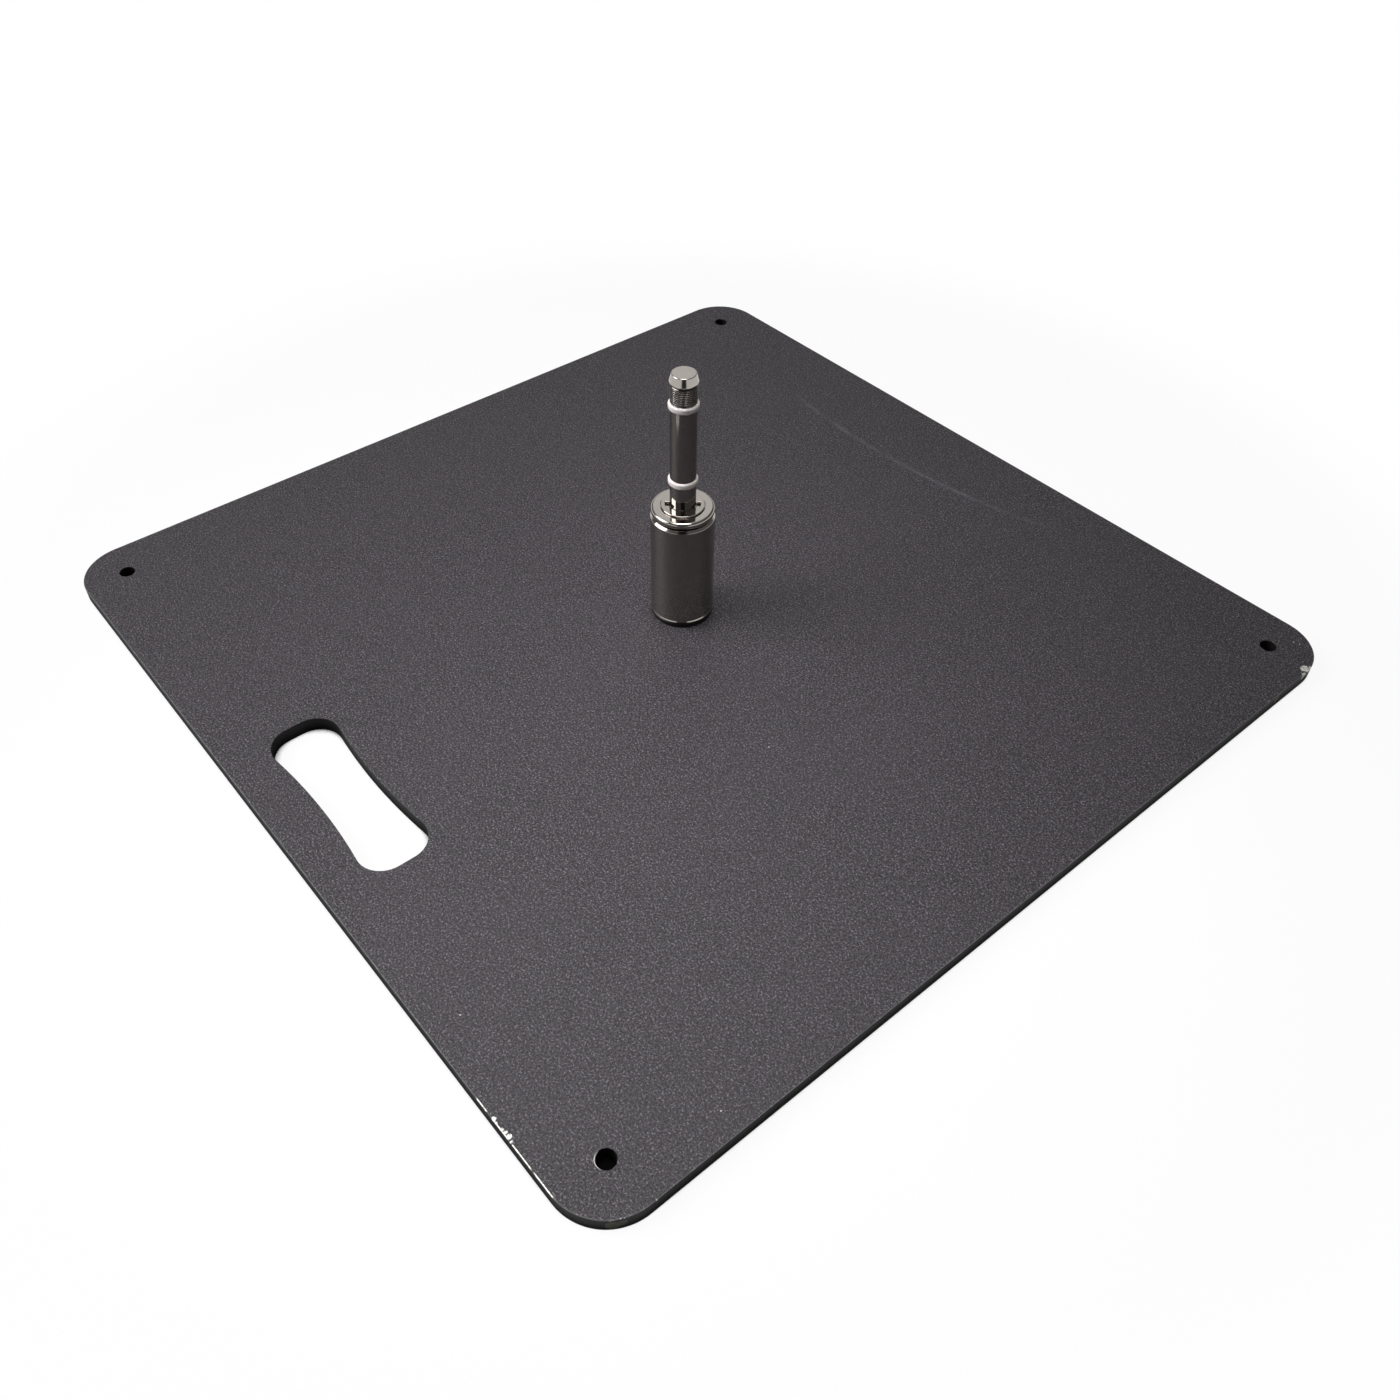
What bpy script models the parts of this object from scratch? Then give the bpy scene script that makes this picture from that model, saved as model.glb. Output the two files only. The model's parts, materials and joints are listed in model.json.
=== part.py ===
"""Square steel weight plate with a carry slot and an upright spigot that turns in two ball bearings.

The plate lies flat on the XY plane. The origin is the middle of its underside, +Z is up, and the
carry slot is beside the front edge, towards -Y. The spigot stands on the Z axis: a turned housing
is screwed to the plate from below, and the spindle turns in the two bearings inside it.
All lengths are in metres, all angles in degrees.
"""

import math

import bmesh
import bpy
from mathutils import Matrix

# Clearances
SEAT_GAP = 0.0003
THREAD_GAP = 0.0003
BALL_GAP = 0.00025
CAGE_SIDE_GAP = 0.0007
DISC_RUNNING_GAP = 0.001
TAIL_RUNNING_GAP = 0.0015

# Base plate
PLATE_SIDE = 0.500
PLATE_THICKNESS = 0.008
PLATE_CORNER_RADIUS = 0.027
PLATE_EDGE_BREAK = 0.0006
CORNER_HOLE_DIAMETER = 0.0087
CORNER_HOLE_INSET = 0.0245

# Carry slot: round-cornered ends, each long side drawn in to a waist
SLOT_LENGTH = 0.110
SLOT_END_WIDTH = 0.035
SLOT_WAIST_DRAW_IN = 0.0025
SLOT_CORNER_RADIUS = 0.0135
SLOT_EDGE_DISTANCE = 0.040

# Countersunk screw that holds the housing from below
SCREW_DIAMETER = 0.010
SCREW_LENGTH = 0.025
SCREW_HEAD_DIAMETER = 0.0196
SCREW_HEAD_DEPTH = 0.0004
SCREW_POINT_CHAMFER = 0.001
SCREW_SOCKET_SIDES = 6
SCREW_SOCKET_WIDTH = 0.006
SCREW_SOCKET_DEPTH = 0.0036
SCREW_HOLE_SPARE = 0.0015

# Ball bearings, both of one size
BEARING_BORE = 0.012
RACE_WALL = 0.00137
BALL_DIAMETER = 0.00476
BALL_COUNT = 8
CAGE_BACK_THICKNESS = 0.00037
CAGE_HORN_HEIGHT = 0.0012
CAGE_RADIAL_THICKNESS = 0.0018
SHIELD_THICKNESS = 0.0004
SHIELD_INSET = 0.0003
SHIELD_SEAT_DEPTH = 0.0005

# Spacers between the two bearings
SPACER_LENGTH = 0.014
OUTER_SPACER_WALL = 0.0016
INNER_SPACER_WALL = 0.0014

# Housing
HOUSING_WALL = 0.00275
HOUSING_TOP_CHAMFER = 0.0012
HOUSING_FOOT_CHAMFER = 0.0007
HOUSING_MOUTH_HEIGHT = 0.0068
HOUSING_MOUTH_CHAMFER = 0.0003
HOUSING_FLOOR = 0.0035
BEARING_LEDGE = 0.0033

# Washer under the housing
WASHER_THICKNESS = 0.0024
WASHER_CHAMFER = 0.0003
WASHER_SET_IN = 0.0003

# Spindle
PIN_DIAMETER = 0.0137
COLLAR_STEP = 0.00135
TAIL_LENGTH = 0.0043
PIN_HEIGHT_OVER_DISC = 0.0716
SPINDLE_CHAMFER = 0.0005

# Disc that turns with the spindle
DISC_SET_IN = 0.0003
DISC_THICKNESS = 0.0038
DISC_RIM_RADIUS = 0.0016
DISC_RECESS_DEPTH = 0.0005

# Open clip that holds the disc, with a prong at the middle and one at each end
DISC_CLIP_REACH = 0.00465
DISC_CLIP_WINDOW_REACH = 0.00235
DISC_CLIP_GROOVE_DEPTH = 0.00085
DISC_CLIP_THICKNESS = 0.0012
DISC_CLIP_MOUTH_ANGLE = 36
DISC_CLIP_WINDOW_START = 80
DISC_CLIP_WINDOW_END = 130
DISC_CLIP_TURN = 139.8

# Clips with drilled lugs that hold the bearings
SHAFT_CLIP_THICKNESS = 0.001
SHAFT_CLIP_GROOVE_DEPTH = 0.0004
BORE_CLIP_THICKNESS = 0.0012
BORE_CLIP_GROOVE_DEPTH = 0.0007
CLIP_BAND = 0.0018
CLIP_GAP_ANGLE = 20
CLIP_LUG_ANGLE = 20
CLIP_LUG_REACH = 0.0016
CLIP_LUG_HOLE_DIAMETER = 0.0015

# White bands on the pin
BAND_CORD = 0.003
BAND_STANDS_PROUD = 0.00095
LOWER_BAND_OVER_DISC = 0.0162
UPPER_BAND_BELOW_PIN_END = 0.0116

# Cap on the pin's end
CAP_OVERHANG = 0.00045
CAP_HEIGHT = 0.0054
CAP_RIM_HEIGHT = 0.0012
CAP_TAPER_ANGLE = 17
CAP_EDGE_RADIUS = 0.0004
CAP_FOOT_CHAMFER = 0.0005
CAP_STUD_DIAMETER = 0.008
CAP_STUD_LENGTH = 0.007
CAP_HOLE_SPARE = 0.0008

# Facets round a full turn, and steps along an arc
VISIBLE_SEGMENTS = 40
PIN_SEGMENTS = 32
HIDDEN_SEGMENTS = 24
HOLE_SEGMENTS = 24
LUG_HOLE_SEGMENTS = 12
BALL_SEGMENTS = 8
BALL_RINGS = 6
CORD_STEPS = 8
ARC_STEPS = 5
CLIP_STEP_ANGLE = 12
SHARP_EDGE_ANGLE = 30

# Radii of what fits together, from the axis out
BALL_RADIUS = BALL_DIAMETER / 2
GROOVE_RADIUS = BALL_RADIUS + BALL_GAP
JOURNAL_RADIUS = BEARING_BORE / 2 - SEAT_GAP
PIN_RADIUS = PIN_DIAMETER / 2
COLLAR_RADIUS = PIN_RADIUS + COLLAR_STEP
DISC_CLIP_RADIUS = PIN_RADIUS + DISC_CLIP_REACH
BALL_PITCH_RADIUS = BEARING_BORE / 2 + RACE_WALL + GROOVE_RADIUS
INNER_LAND_RADIUS = BALL_PITCH_RADIUS - CAGE_RADIAL_THICKNESS / 2 - CAGE_SIDE_GAP
OUTER_LAND_RADIUS = BALL_PITCH_RADIUS + CAGE_RADIAL_THICKNESS / 2 + CAGE_SIDE_GAP
BEARING_RADIUS = BALL_PITCH_RADIUS + GROOVE_RADIUS + RACE_WALL
HOUSING_BORE_RADIUS = BEARING_RADIUS + SEAT_GAP
HOUSING_RADIUS = HOUSING_BORE_RADIUS + HOUSING_WALL
TAPPED_RADIUS = SCREW_DIAMETER / 2 + THREAD_GAP

# Heights of the stack, from the plate up
CAGE_HALF_SPACE = GROOVE_RADIUS + CAGE_BACK_THICKNESS
SHIELD_FOOT = CAGE_HALF_SPACE + SEAT_GAP
BEARING_HALF_WIDTH = SHIELD_FOOT + SHIELD_THICKNESS + SHIELD_INSET
WASHER_FOOT = PLATE_THICKNESS + SEAT_GAP
HOUSING_FOOT = WASHER_FOOT + WASHER_THICKNESS + SEAT_GAP
SCREW_TIP = SCREW_HEAD_DEPTH + SCREW_LENGTH
TAPPED_HOLE_TOP = SCREW_TIP + SCREW_HOLE_SPARE
TAIL_BORE_FLOOR = TAPPED_HOLE_TOP + HOUSING_FLOOR
TAIL_END = TAIL_BORE_FLOOR + TAIL_RUNNING_GAP
LOWER_BEARING_FOOT = TAIL_END + TAIL_LENGTH
BEARING_LEDGE_HEIGHT = LOWER_BEARING_FOOT - SEAT_GAP
LOWER_BEARING_MIDDLE = LOWER_BEARING_FOOT + BEARING_HALF_WIDTH
SPACER_FOOT = LOWER_BEARING_MIDDLE + BEARING_HALF_WIDTH + SEAT_GAP
UPPER_BEARING_MIDDLE = SPACER_FOOT + SPACER_LENGTH + SEAT_GAP + BEARING_HALF_WIDTH
UPPER_BEARING_TOP = UPPER_BEARING_MIDDLE + BEARING_HALF_WIDTH
COLLAR_FOOT = UPPER_BEARING_TOP + SEAT_GAP
HOUSING_TOP = UPPER_BEARING_TOP + HOUSING_MOUTH_HEIGHT
DISC_FOOT = HOUSING_TOP + DISC_RUNNING_GAP
COLLAR_TOP = DISC_FOOT - SEAT_GAP
DISC_TOP = DISC_FOOT + DISC_THICKNESS
DISC_RECESS_FLOOR = DISC_TOP - DISC_RECESS_DEPTH
SPINDLE_TOP = DISC_TOP + PIN_HEIGHT_OVER_DISC
CAP_FOOT = SPINDLE_TOP + SEAT_GAP
BAND_RADIUS = PIN_RADIUS + BAND_STANDS_PROUD
BAND_GROOVE_RADIUS = BAND_RADIUS - BAND_CORD - SEAT_GAP
BAND_HEIGHTS = (DISC_TOP + LOWER_BAND_OVER_DISC, SPINDLE_TOP - UPPER_BAND_BELOW_PIN_END)


def clear_scene():
    """Remove every object, so the script can be run again in an open file."""
    for item in list(bpy.data.objects):
        bpy.data.objects.remove(item, do_unlink=True)


def make_material(name, colour, roughness, metallic):
    """A Principled material with one colour, roughness and metallic value."""
    material = bpy.data.materials.new(name)
    material.use_nodes = True
    shader = material.node_tree.nodes["Principled BSDF"]
    shader.inputs["Base Color"].default_value = (*colour, 1.0)
    shader.inputs["Roughness"].default_value = roughness
    shader.inputs["Metallic"].default_value = metallic
    return material


def add_object(name, mesh, parent=None, location=(0, 0, 0), turn=0.0):
    """Link a mesh, or an empty for no mesh, at a place and turned about Z by an angle."""
    item = bpy.data.objects.new(name, mesh)
    item.location = location
    item.rotation_euler = (0, 0, math.radians(turn))
    item.parent = parent
    bpy.context.collection.objects.link(item)
    return item


def finish_mesh(bm, name, material, smooth=False):
    """Turn a bmesh into a mesh with outward faces, a material and, for round pieces, smooth shading."""
    bmesh.ops.recalc_face_normals(bm, faces=bm.faces)
    mesh = bpy.data.meshes.new(name)
    bm.to_mesh(mesh)
    bm.free()
    if material:
        mesh.materials.append(material)
    if smooth:
        mesh.shade_smooth()
        mesh.set_sharp_from_angle(angle=math.radians(SHARP_EDGE_ANGLE))
    return mesh


def arc(centre, radius, start, end, steps):
    """Points along an arc about a 2-D centre, both ends included."""
    angles = [math.radians(start + (end - start) * i / steps) for i in range(steps + 1)]
    return [
        (centre[0] + radius * math.cos(angle), centre[1] + radius * math.sin(angle))
        for angle in angles
    ]


def turned_mesh(name, profile, segments, material=None):
    """Spin an (r, z) profile round Z. A profile that ends off the axis is closed into a ring."""
    bm = bmesh.new()
    verts = [bm.verts.new((r, 0.0, z)) for r, z in profile]
    edges = [bm.edges.new(pair) for pair in zip(verts, verts[1:])]
    if profile[0][0] > 0:
        edges.append(bm.edges.new((verts[-1], verts[0])))
    bmesh.ops.spin(
        bm,
        geom=verts + edges,
        cent=(0, 0, 0),
        axis=(0, 0, 1),
        angle=math.tau,
        steps=segments,
        use_merge=True,
    )
    bmesh.ops.remove_doubles(bm, verts=bm.verts, dist=1e-6)
    return finish_mesh(bm, name, material, smooth=True)


def cylinder_mesh(name, radius, foot, top, segments):
    """A plain turned cylinder, for cutting round holes."""
    profile = [(0.0, foot), (radius, foot), (radius, top), (0.0, top)]
    return turned_mesh(name, profile, segments)


def sheet_mesh(name, outline, foot, top, material=None, edge_break=0.0):
    """Raise a flat outline from foot to top, with its two rims broken by edge_break."""
    bm = bmesh.new()
    face = bm.faces.new([bm.verts.new((x, y, foot)) for x, y in outline])
    made = bmesh.ops.extrude_face_region(bm, geom=[face])
    raised = [item for item in made["geom"] if isinstance(item, bmesh.types.BMVert)]
    bmesh.ops.translate(bm, verts=raised, vec=(0, 0, top - foot))
    if edge_break:
        rims = [edge for edge in bm.edges if edge.verts[0].co.z == edge.verts[1].co.z]
        bmesh.ops.bevel(bm, geom=rims, offset=edge_break, segments=1, affect="EDGES")
    return finish_mesh(bm, name, material)


def cut(target, name, mesh, location=(0, 0, 0)):
    """Take a mesh out of a target with a Boolean that stays on it."""
    cutter = add_object(name, mesh, target.parent, location)
    cutter.hide_render = True
    cutter.display_type = "WIRE"
    boolean = target.modifiers.new(name, "BOOLEAN")
    boolean.operation = "DIFFERENCE"
    boolean.object = cutter


def rounded_square(side, radius, steps):
    """The outline of a square with rounded corners, about its centre."""
    reach = side / 2 - radius
    corners = [(reach, reach), (-reach, reach), (-reach, -reach), (reach, -reach)]
    points = []
    for number, corner in enumerate(corners):
        points += arc(corner, radius, 90 * number, 90 * (number + 1), steps)
    return points


def slot_outline():
    """The carry slot's outline about its centre, long axis along X.

    Each end is flat between two round corners. Each long side is one arc that joins two corner
    arcs smoothly, and its middle is the waist.
    """
    radius = SLOT_CORNER_RADIUS
    corner_x = SLOT_LENGTH / 2 - radius
    corner_y = SLOT_END_WIDTH / 2 - radius
    depth = radius - SLOT_WAIST_DRAW_IN
    side_radius = (depth**2 + corner_x**2 - radius**2) / (2 * SLOT_WAIST_DRAW_IN)
    lean = math.degrees(math.asin(corner_x / (side_radius + radius)))
    side_centre = SLOT_END_WIDTH / 2 - SLOT_WAIST_DRAW_IN + side_radius
    right_corner = arc((corner_x, corner_y), radius, 0, 90 + lean, ARC_STEPS)
    long_side = arc((0, side_centre), side_radius, 270 + lean, 270 - lean, ARC_STEPS)[1:-1]
    left_corner = [(-x, y) for x, y in reversed(right_corner)]
    upper_half = right_corner + long_side + left_corner
    return upper_half + [(-x, -y) for x, y in upper_half]


def stepped_arc(start, zones):
    """Points round the origin from a start angle, through zones of (end angle, radius)."""
    points = []
    for end, radius in zones:
        steps = max(1, round((end - start) / CLIP_STEP_ANGLE))
        points += arc((0, 0), radius, start, end, steps)
        start = end
    return points


def open_ring_outline(gap_angle, outer_zones, inner_zones):
    """The outline of a flat ring whose opening is centred on +X, gap_angle to either side."""
    outer = stepped_arc(gap_angle, outer_zones)
    inner = stepped_arc(gap_angle, inner_zones)
    return outer + inner[::-1]


def make_base_plate(material):
    """The plate, with its carry slot, corner holes and countersunk middle hole."""
    outline = rounded_square(PLATE_SIDE, PLATE_CORNER_RADIUS, 2 * ARC_STEPS)
    mesh = sheet_mesh("base_plate", outline, 0, PLATE_THICKNESS, material, PLATE_EDGE_BREAK)
    plate = add_object("base_plate", mesh)
    below = -PLATE_THICKNESS
    above = PLATE_THICKNESS * 2

    head = SCREW_HEAD_DIAMETER / 2 + SEAT_GAP
    cone_top = SCREW_HEAD_DEPTH + head - TAPPED_RADIUS
    countersink = [
        (0.0, below),
        (head, below),
        (head, SCREW_HEAD_DEPTH),
        (TAPPED_RADIUS, cone_top),
        (TAPPED_RADIUS, above),
        (0.0, above),
    ]
    cut(plate, "screw_hole_cutter", turned_mesh("screw_hole", countersink, PIN_SEGMENTS))

    hole = cylinder_mesh("corner_hole", CORNER_HOLE_DIAMETER / 2, below, above, HOLE_SEGMENTS)
    reach = PLATE_SIDE / 2 - CORNER_HOLE_INSET
    for number, (x, y) in enumerate([(-1, -1), (1, -1), (1, 1), (-1, 1)], 1):
        cut(plate, f"corner_hole_cutter_{number}", hole, (x * reach, y * reach, 0))

    slot = sheet_mesh("carry_slot", slot_outline(), below, above)
    cut(plate, "carry_slot_cutter", slot, (0, SLOT_EDGE_DISTANCE - PLATE_SIDE / 2, 0))


def make_fixing_screw(material):
    """Countersunk socket screw, driven from below through the plate into the housing."""
    head = SCREW_HEAD_DIAMETER / 2
    shaft = SCREW_DIAMETER / 2
    profile = [
        (0.0, SCREW_HEAD_DEPTH),
        (head, SCREW_HEAD_DEPTH),
        (shaft, SCREW_HEAD_DEPTH + head - shaft),
        (shaft, SCREW_TIP - SCREW_POINT_CHAMFER),
        (shaft - SCREW_POINT_CHAMFER, SCREW_TIP),
        (0.0, SCREW_TIP),
    ]
    screw = add_object("fixing_screw", turned_mesh("fixing_screw", profile, PIN_SEGMENTS, material))
    sides = SCREW_SOCKET_SIDES
    corner_radius = SCREW_SOCKET_WIDTH / 2 / math.cos(math.pi / sides)
    socket_top = SCREW_HEAD_DEPTH + SCREW_SOCKET_DEPTH
    socket = cylinder_mesh("screw_socket", corner_radius, -SCREW_SOCKET_DEPTH, socket_top, sides)
    cut(screw, "screw_socket_cutter", socket)


def make_seat_washer(material):
    """Turned washer between the plate and the housing."""
    top = WASHER_FOOT + WASHER_THICKNESS
    outer = HOUSING_RADIUS - WASHER_SET_IN
    profile = [
        (TAPPED_RADIUS, WASHER_FOOT),
        (outer - WASHER_CHAMFER, WASHER_FOOT),
        (outer, WASHER_FOOT + WASHER_CHAMFER),
        (outer, top - WASHER_CHAMFER),
        (outer - WASHER_CHAMFER, top),
        (TAPPED_RADIUS, top),
    ]
    add_object("seat_washer", turned_mesh("seat_washer", profile, VISIBLE_SEGMENTS, material))


def make_housing(material):
    """Turned barrel, bored from the top for the bearings and tapped from below for the screw."""
    bore = HOUSING_BORE_RADIUS
    groove = bore + BORE_CLIP_GROOVE_DEPTH
    groove_top = UPPER_BEARING_TOP + BORE_CLIP_THICKNESS + 2 * SEAT_GAP
    tail_bore = bore - BEARING_LEDGE
    profile = [
        (0.0, TAPPED_HOLE_TOP),
        (TAPPED_RADIUS, TAPPED_HOLE_TOP),
        (TAPPED_RADIUS, HOUSING_FOOT),
        (HOUSING_RADIUS - HOUSING_FOOT_CHAMFER, HOUSING_FOOT),
        (HOUSING_RADIUS, HOUSING_FOOT + HOUSING_FOOT_CHAMFER),
        (HOUSING_RADIUS, HOUSING_TOP - HOUSING_TOP_CHAMFER),
        (HOUSING_RADIUS - HOUSING_TOP_CHAMFER, HOUSING_TOP),
        (bore + HOUSING_MOUTH_CHAMFER, HOUSING_TOP),
        (bore, HOUSING_TOP - HOUSING_MOUTH_CHAMFER),
        (bore, groove_top),
        (groove, groove_top),
        (groove, UPPER_BEARING_TOP),
        (bore, UPPER_BEARING_TOP),
        (bore, BEARING_LEDGE_HEIGHT),
        (tail_bore, BEARING_LEDGE_HEIGHT),
        (tail_bore, TAIL_BORE_FLOOR),
        (0.0, TAIL_BORE_FLOOR),
    ]
    mesh = turned_mesh("bearing_housing", profile, VISIBLE_SEGMENTS, material)
    add_object("bearing_housing", mesh)


def make_spindle(material, turn):
    """The shaft: journal in the bearings, collar, and the pin with its grooves and stud hole."""
    clip_foot = LOWER_BEARING_FOOT - SEAT_GAP - SHAFT_CLIP_THICKNESS
    clip_groove = JOURNAL_RADIUS - SHAFT_CLIP_GROOVE_DEPTH
    disc_clip_groove = PIN_RADIUS - DISC_CLIP_GROOVE_DEPTH
    disc_clip_groove_top = DISC_RECESS_FLOOR + DISC_CLIP_THICKNESS + 2 * SEAT_GAP
    stud_hole = CAP_STUD_DIAMETER / 2 + THREAD_GAP
    stud_hole_floor = SPINDLE_TOP - CAP_STUD_LENGTH - CAP_HOLE_SPARE
    half_groove = BAND_CORD / 2 + SEAT_GAP
    profile = [
        (0.0, TAIL_END),
        (JOURNAL_RADIUS - SPINDLE_CHAMFER, TAIL_END),
        (JOURNAL_RADIUS, TAIL_END + SPINDLE_CHAMFER),
        (JOURNAL_RADIUS, clip_foot - SEAT_GAP),
        (clip_groove, clip_foot - SEAT_GAP),
        (clip_groove, LOWER_BEARING_FOOT),
        (JOURNAL_RADIUS, LOWER_BEARING_FOOT),
        (JOURNAL_RADIUS, COLLAR_FOOT),
        (COLLAR_RADIUS, COLLAR_FOOT),
        (COLLAR_RADIUS, COLLAR_TOP),
        (PIN_RADIUS, COLLAR_TOP),
        (PIN_RADIUS, DISC_RECESS_FLOOR),
        (disc_clip_groove, DISC_RECESS_FLOOR),
        (disc_clip_groove, disc_clip_groove_top),
        (PIN_RADIUS, disc_clip_groove_top),
    ]
    for middle in BAND_HEIGHTS:
        profile += [
            (PIN_RADIUS, middle - half_groove),
            (BAND_GROOVE_RADIUS, middle - half_groove),
            (BAND_GROOVE_RADIUS, middle + half_groove),
            (PIN_RADIUS, middle + half_groove),
        ]
    profile += [
        (PIN_RADIUS, SPINDLE_TOP - SPINDLE_CHAMFER),
        (PIN_RADIUS - SPINDLE_CHAMFER, SPINDLE_TOP),
        (stud_hole, SPINDLE_TOP),
        (stud_hole, stud_hole_floor),
        (0.0, stud_hole_floor),
    ]
    add_object("spindle", turned_mesh("spindle", profile, PIN_SEGMENTS, material), turn)


def make_turning_disc(material, turn):
    """Polished disc with a rounded rim and a recess for its clip, seated on the spindle's collar."""
    bore = PIN_RADIUS + SEAT_GAP
    recess = DISC_CLIP_RADIUS + SEAT_GAP
    rim = HOUSING_RADIUS - DISC_SET_IN - DISC_RIM_RADIUS
    lower = (rim, DISC_FOOT + DISC_RIM_RADIUS)
    upper = (rim, DISC_TOP - DISC_RIM_RADIUS)
    profile = [(bore, DISC_FOOT)]
    profile += arc(lower, DISC_RIM_RADIUS, -90, 0, ARC_STEPS)
    profile += arc(upper, DISC_RIM_RADIUS, 0, 90, ARC_STEPS)
    profile += [(recess, DISC_TOP), (recess, DISC_RECESS_FLOOR), (bore, DISC_RECESS_FLOOR)]
    mesh = turned_mesh("turning_disc", profile, VISIBLE_SEGMENTS, material)
    add_object("turning_disc", mesh, turn)


def make_disc_clip(material, turn):
    """Open clip in the pin's groove: prongs at the middle and the ends, a window between each two."""
    prong = PIN_RADIUS - DISC_CLIP_GROOVE_DEPTH + SEAT_GAP
    window = PIN_RADIUS + DISC_CLIP_WINDOW_REACH
    end = 360 - DISC_CLIP_MOUTH_ANGLE
    outer_zones = [(end, DISC_CLIP_RADIUS)]
    inner_zones = [
        (DISC_CLIP_WINDOW_START, prong),
        (DISC_CLIP_WINDOW_END, window),
        (360 - DISC_CLIP_WINDOW_END, prong),
        (360 - DISC_CLIP_WINDOW_START, window),
        (end, prong),
    ]
    outline = open_ring_outline(DISC_CLIP_MOUTH_ANGLE, outer_zones, inner_zones)
    foot = DISC_RECESS_FLOOR + SEAT_GAP
    mesh = sheet_mesh("disc_clip", outline, foot, foot + DISC_CLIP_THICKNESS, material)
    add_object("disc_clip", mesh, turn, turn=DISC_CLIP_TURN)


def make_lugged_clip(name, foot, thickness, band, lug, parent, material):
    """Open ring with a drilled lug at each end. band and lug are each (outer, inner) radius."""
    lug_end = CLIP_GAP_ANGLE + CLIP_LUG_ANGLE
    end = 360 - CLIP_GAP_ANGLE
    outer_zones = [(lug_end, lug[0]), (360 - lug_end, band[0]), (end, lug[0])]
    inner_zones = [(lug_end, lug[1]), (360 - lug_end, band[1]), (end, lug[1])]
    outline = open_ring_outline(CLIP_GAP_ANGLE, outer_zones, inner_zones)
    clip = add_object(name, sheet_mesh(name, outline, foot, foot + thickness, material), parent)
    hole_radius = CLIP_LUG_HOLE_DIAMETER / 2
    below = foot - thickness
    above = foot + 2 * thickness
    hole = cylinder_mesh("lug_hole", hole_radius, below, above, LUG_HOLE_SEGMENTS)
    middle = math.radians(CLIP_GAP_ANGLE + CLIP_LUG_ANGLE / 2)
    reach = (lug[0] + lug[1]) / 2
    for side in (1, -1):
        place = (reach * math.cos(middle), side * reach * math.sin(middle), 0)
        cut(clip, f"{name}_hole_cutter", hole, place)


def make_shaft_clip(material, turn):
    """Outside clip on the journal, under the lower inner race."""
    inner = JOURNAL_RADIUS - SHAFT_CLIP_GROOVE_DEPTH + SEAT_GAP
    outer = inner + CLIP_BAND
    foot = LOWER_BEARING_FOOT - SEAT_GAP - SHAFT_CLIP_THICKNESS
    band = (outer, inner)
    lug = (outer + CLIP_LUG_REACH, inner)
    make_lugged_clip("shaft_clip", foot, SHAFT_CLIP_THICKNESS, band, lug, turn, material)


def make_bore_clip(material):
    """Inside clip in the housing's groove, over the upper outer race."""
    outer = HOUSING_BORE_RADIUS + BORE_CLIP_GROOVE_DEPTH - SEAT_GAP
    inner = outer - CLIP_BAND
    foot = UPPER_BEARING_TOP + SEAT_GAP
    band = (outer, inner)
    lug = (outer, inner - CLIP_LUG_REACH)
    make_lugged_clip("bore_clip", foot, BORE_CLIP_THICKNESS, band, lug, None, material)


def make_bands(material, turn):
    """The two white bands, each a round cord in a groove of the pin."""
    cord = BAND_CORD / 2
    circle = arc((BAND_RADIUS - cord, 0), cord, 0, 360, CORD_STEPS)[:-1]
    mesh = turned_mesh("white_band", circle, PIN_SEGMENTS, material)
    for name, height in zip(("lower_white_band", "upper_white_band"), BAND_HEIGHTS):
        add_object(name, mesh, turn, (0, 0, height))


def make_end_cap(material, turn):
    """Polished cap that tapers from its rim to a flat top, on a stud in the pin's end."""
    outer = PIN_RADIUS + CAP_OVERHANG
    rim_top = CAP_FOOT + CAP_RIM_HEIGHT
    top = CAP_FOOT + CAP_HEIGHT
    stud = CAP_STUD_DIAMETER / 2
    stud_end = CAP_FOOT - CAP_STUD_LENGTH
    taper = math.radians(CAP_TAPER_ANGLE)
    edge_middle = top - CAP_EDGE_RADIUS
    drawn_in = (edge_middle - rim_top) * math.tan(taper) + CAP_EDGE_RADIUS / math.cos(taper)
    edge = (outer - drawn_in, edge_middle)
    profile = [
        (0.0, stud_end),
        (stud - SPINDLE_CHAMFER, stud_end),
        (stud, stud_end + SPINDLE_CHAMFER),
        (stud, CAP_FOOT),
        (outer - CAP_FOOT_CHAMFER, CAP_FOOT),
        (outer, CAP_FOOT + CAP_FOOT_CHAMFER),
        (outer, rim_top),
    ]
    profile += arc(edge, CAP_EDGE_RADIUS, CAP_TAPER_ANGLE, 90, ARC_STEPS)
    profile += [(0.0, top)]
    add_object("end_cap", turned_mesh("end_cap", profile, PIN_SEGMENTS, material), turn)


def make_spacers(material, turn):
    """The two sleeves that keep the bearings apart: one between each pair of races."""
    top = SPACER_FOOT + SPACER_LENGTH
    inner = BEARING_BORE / 2
    sleeves = [
        ("outer_spacer", BEARING_RADIUS - OUTER_SPACER_WALL, BEARING_RADIUS, None),
        ("inner_spacer", inner, inner + INNER_SPACER_WALL, turn),
    ]
    for name, bore, outside, parent in sleeves:
        profile = [(bore, SPACER_FOOT), (outside, SPACER_FOOT), (outside, top), (bore, top)]
        add_object(name, turned_mesh(name, profile, HIDDEN_SEGMENTS, material), parent)


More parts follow.
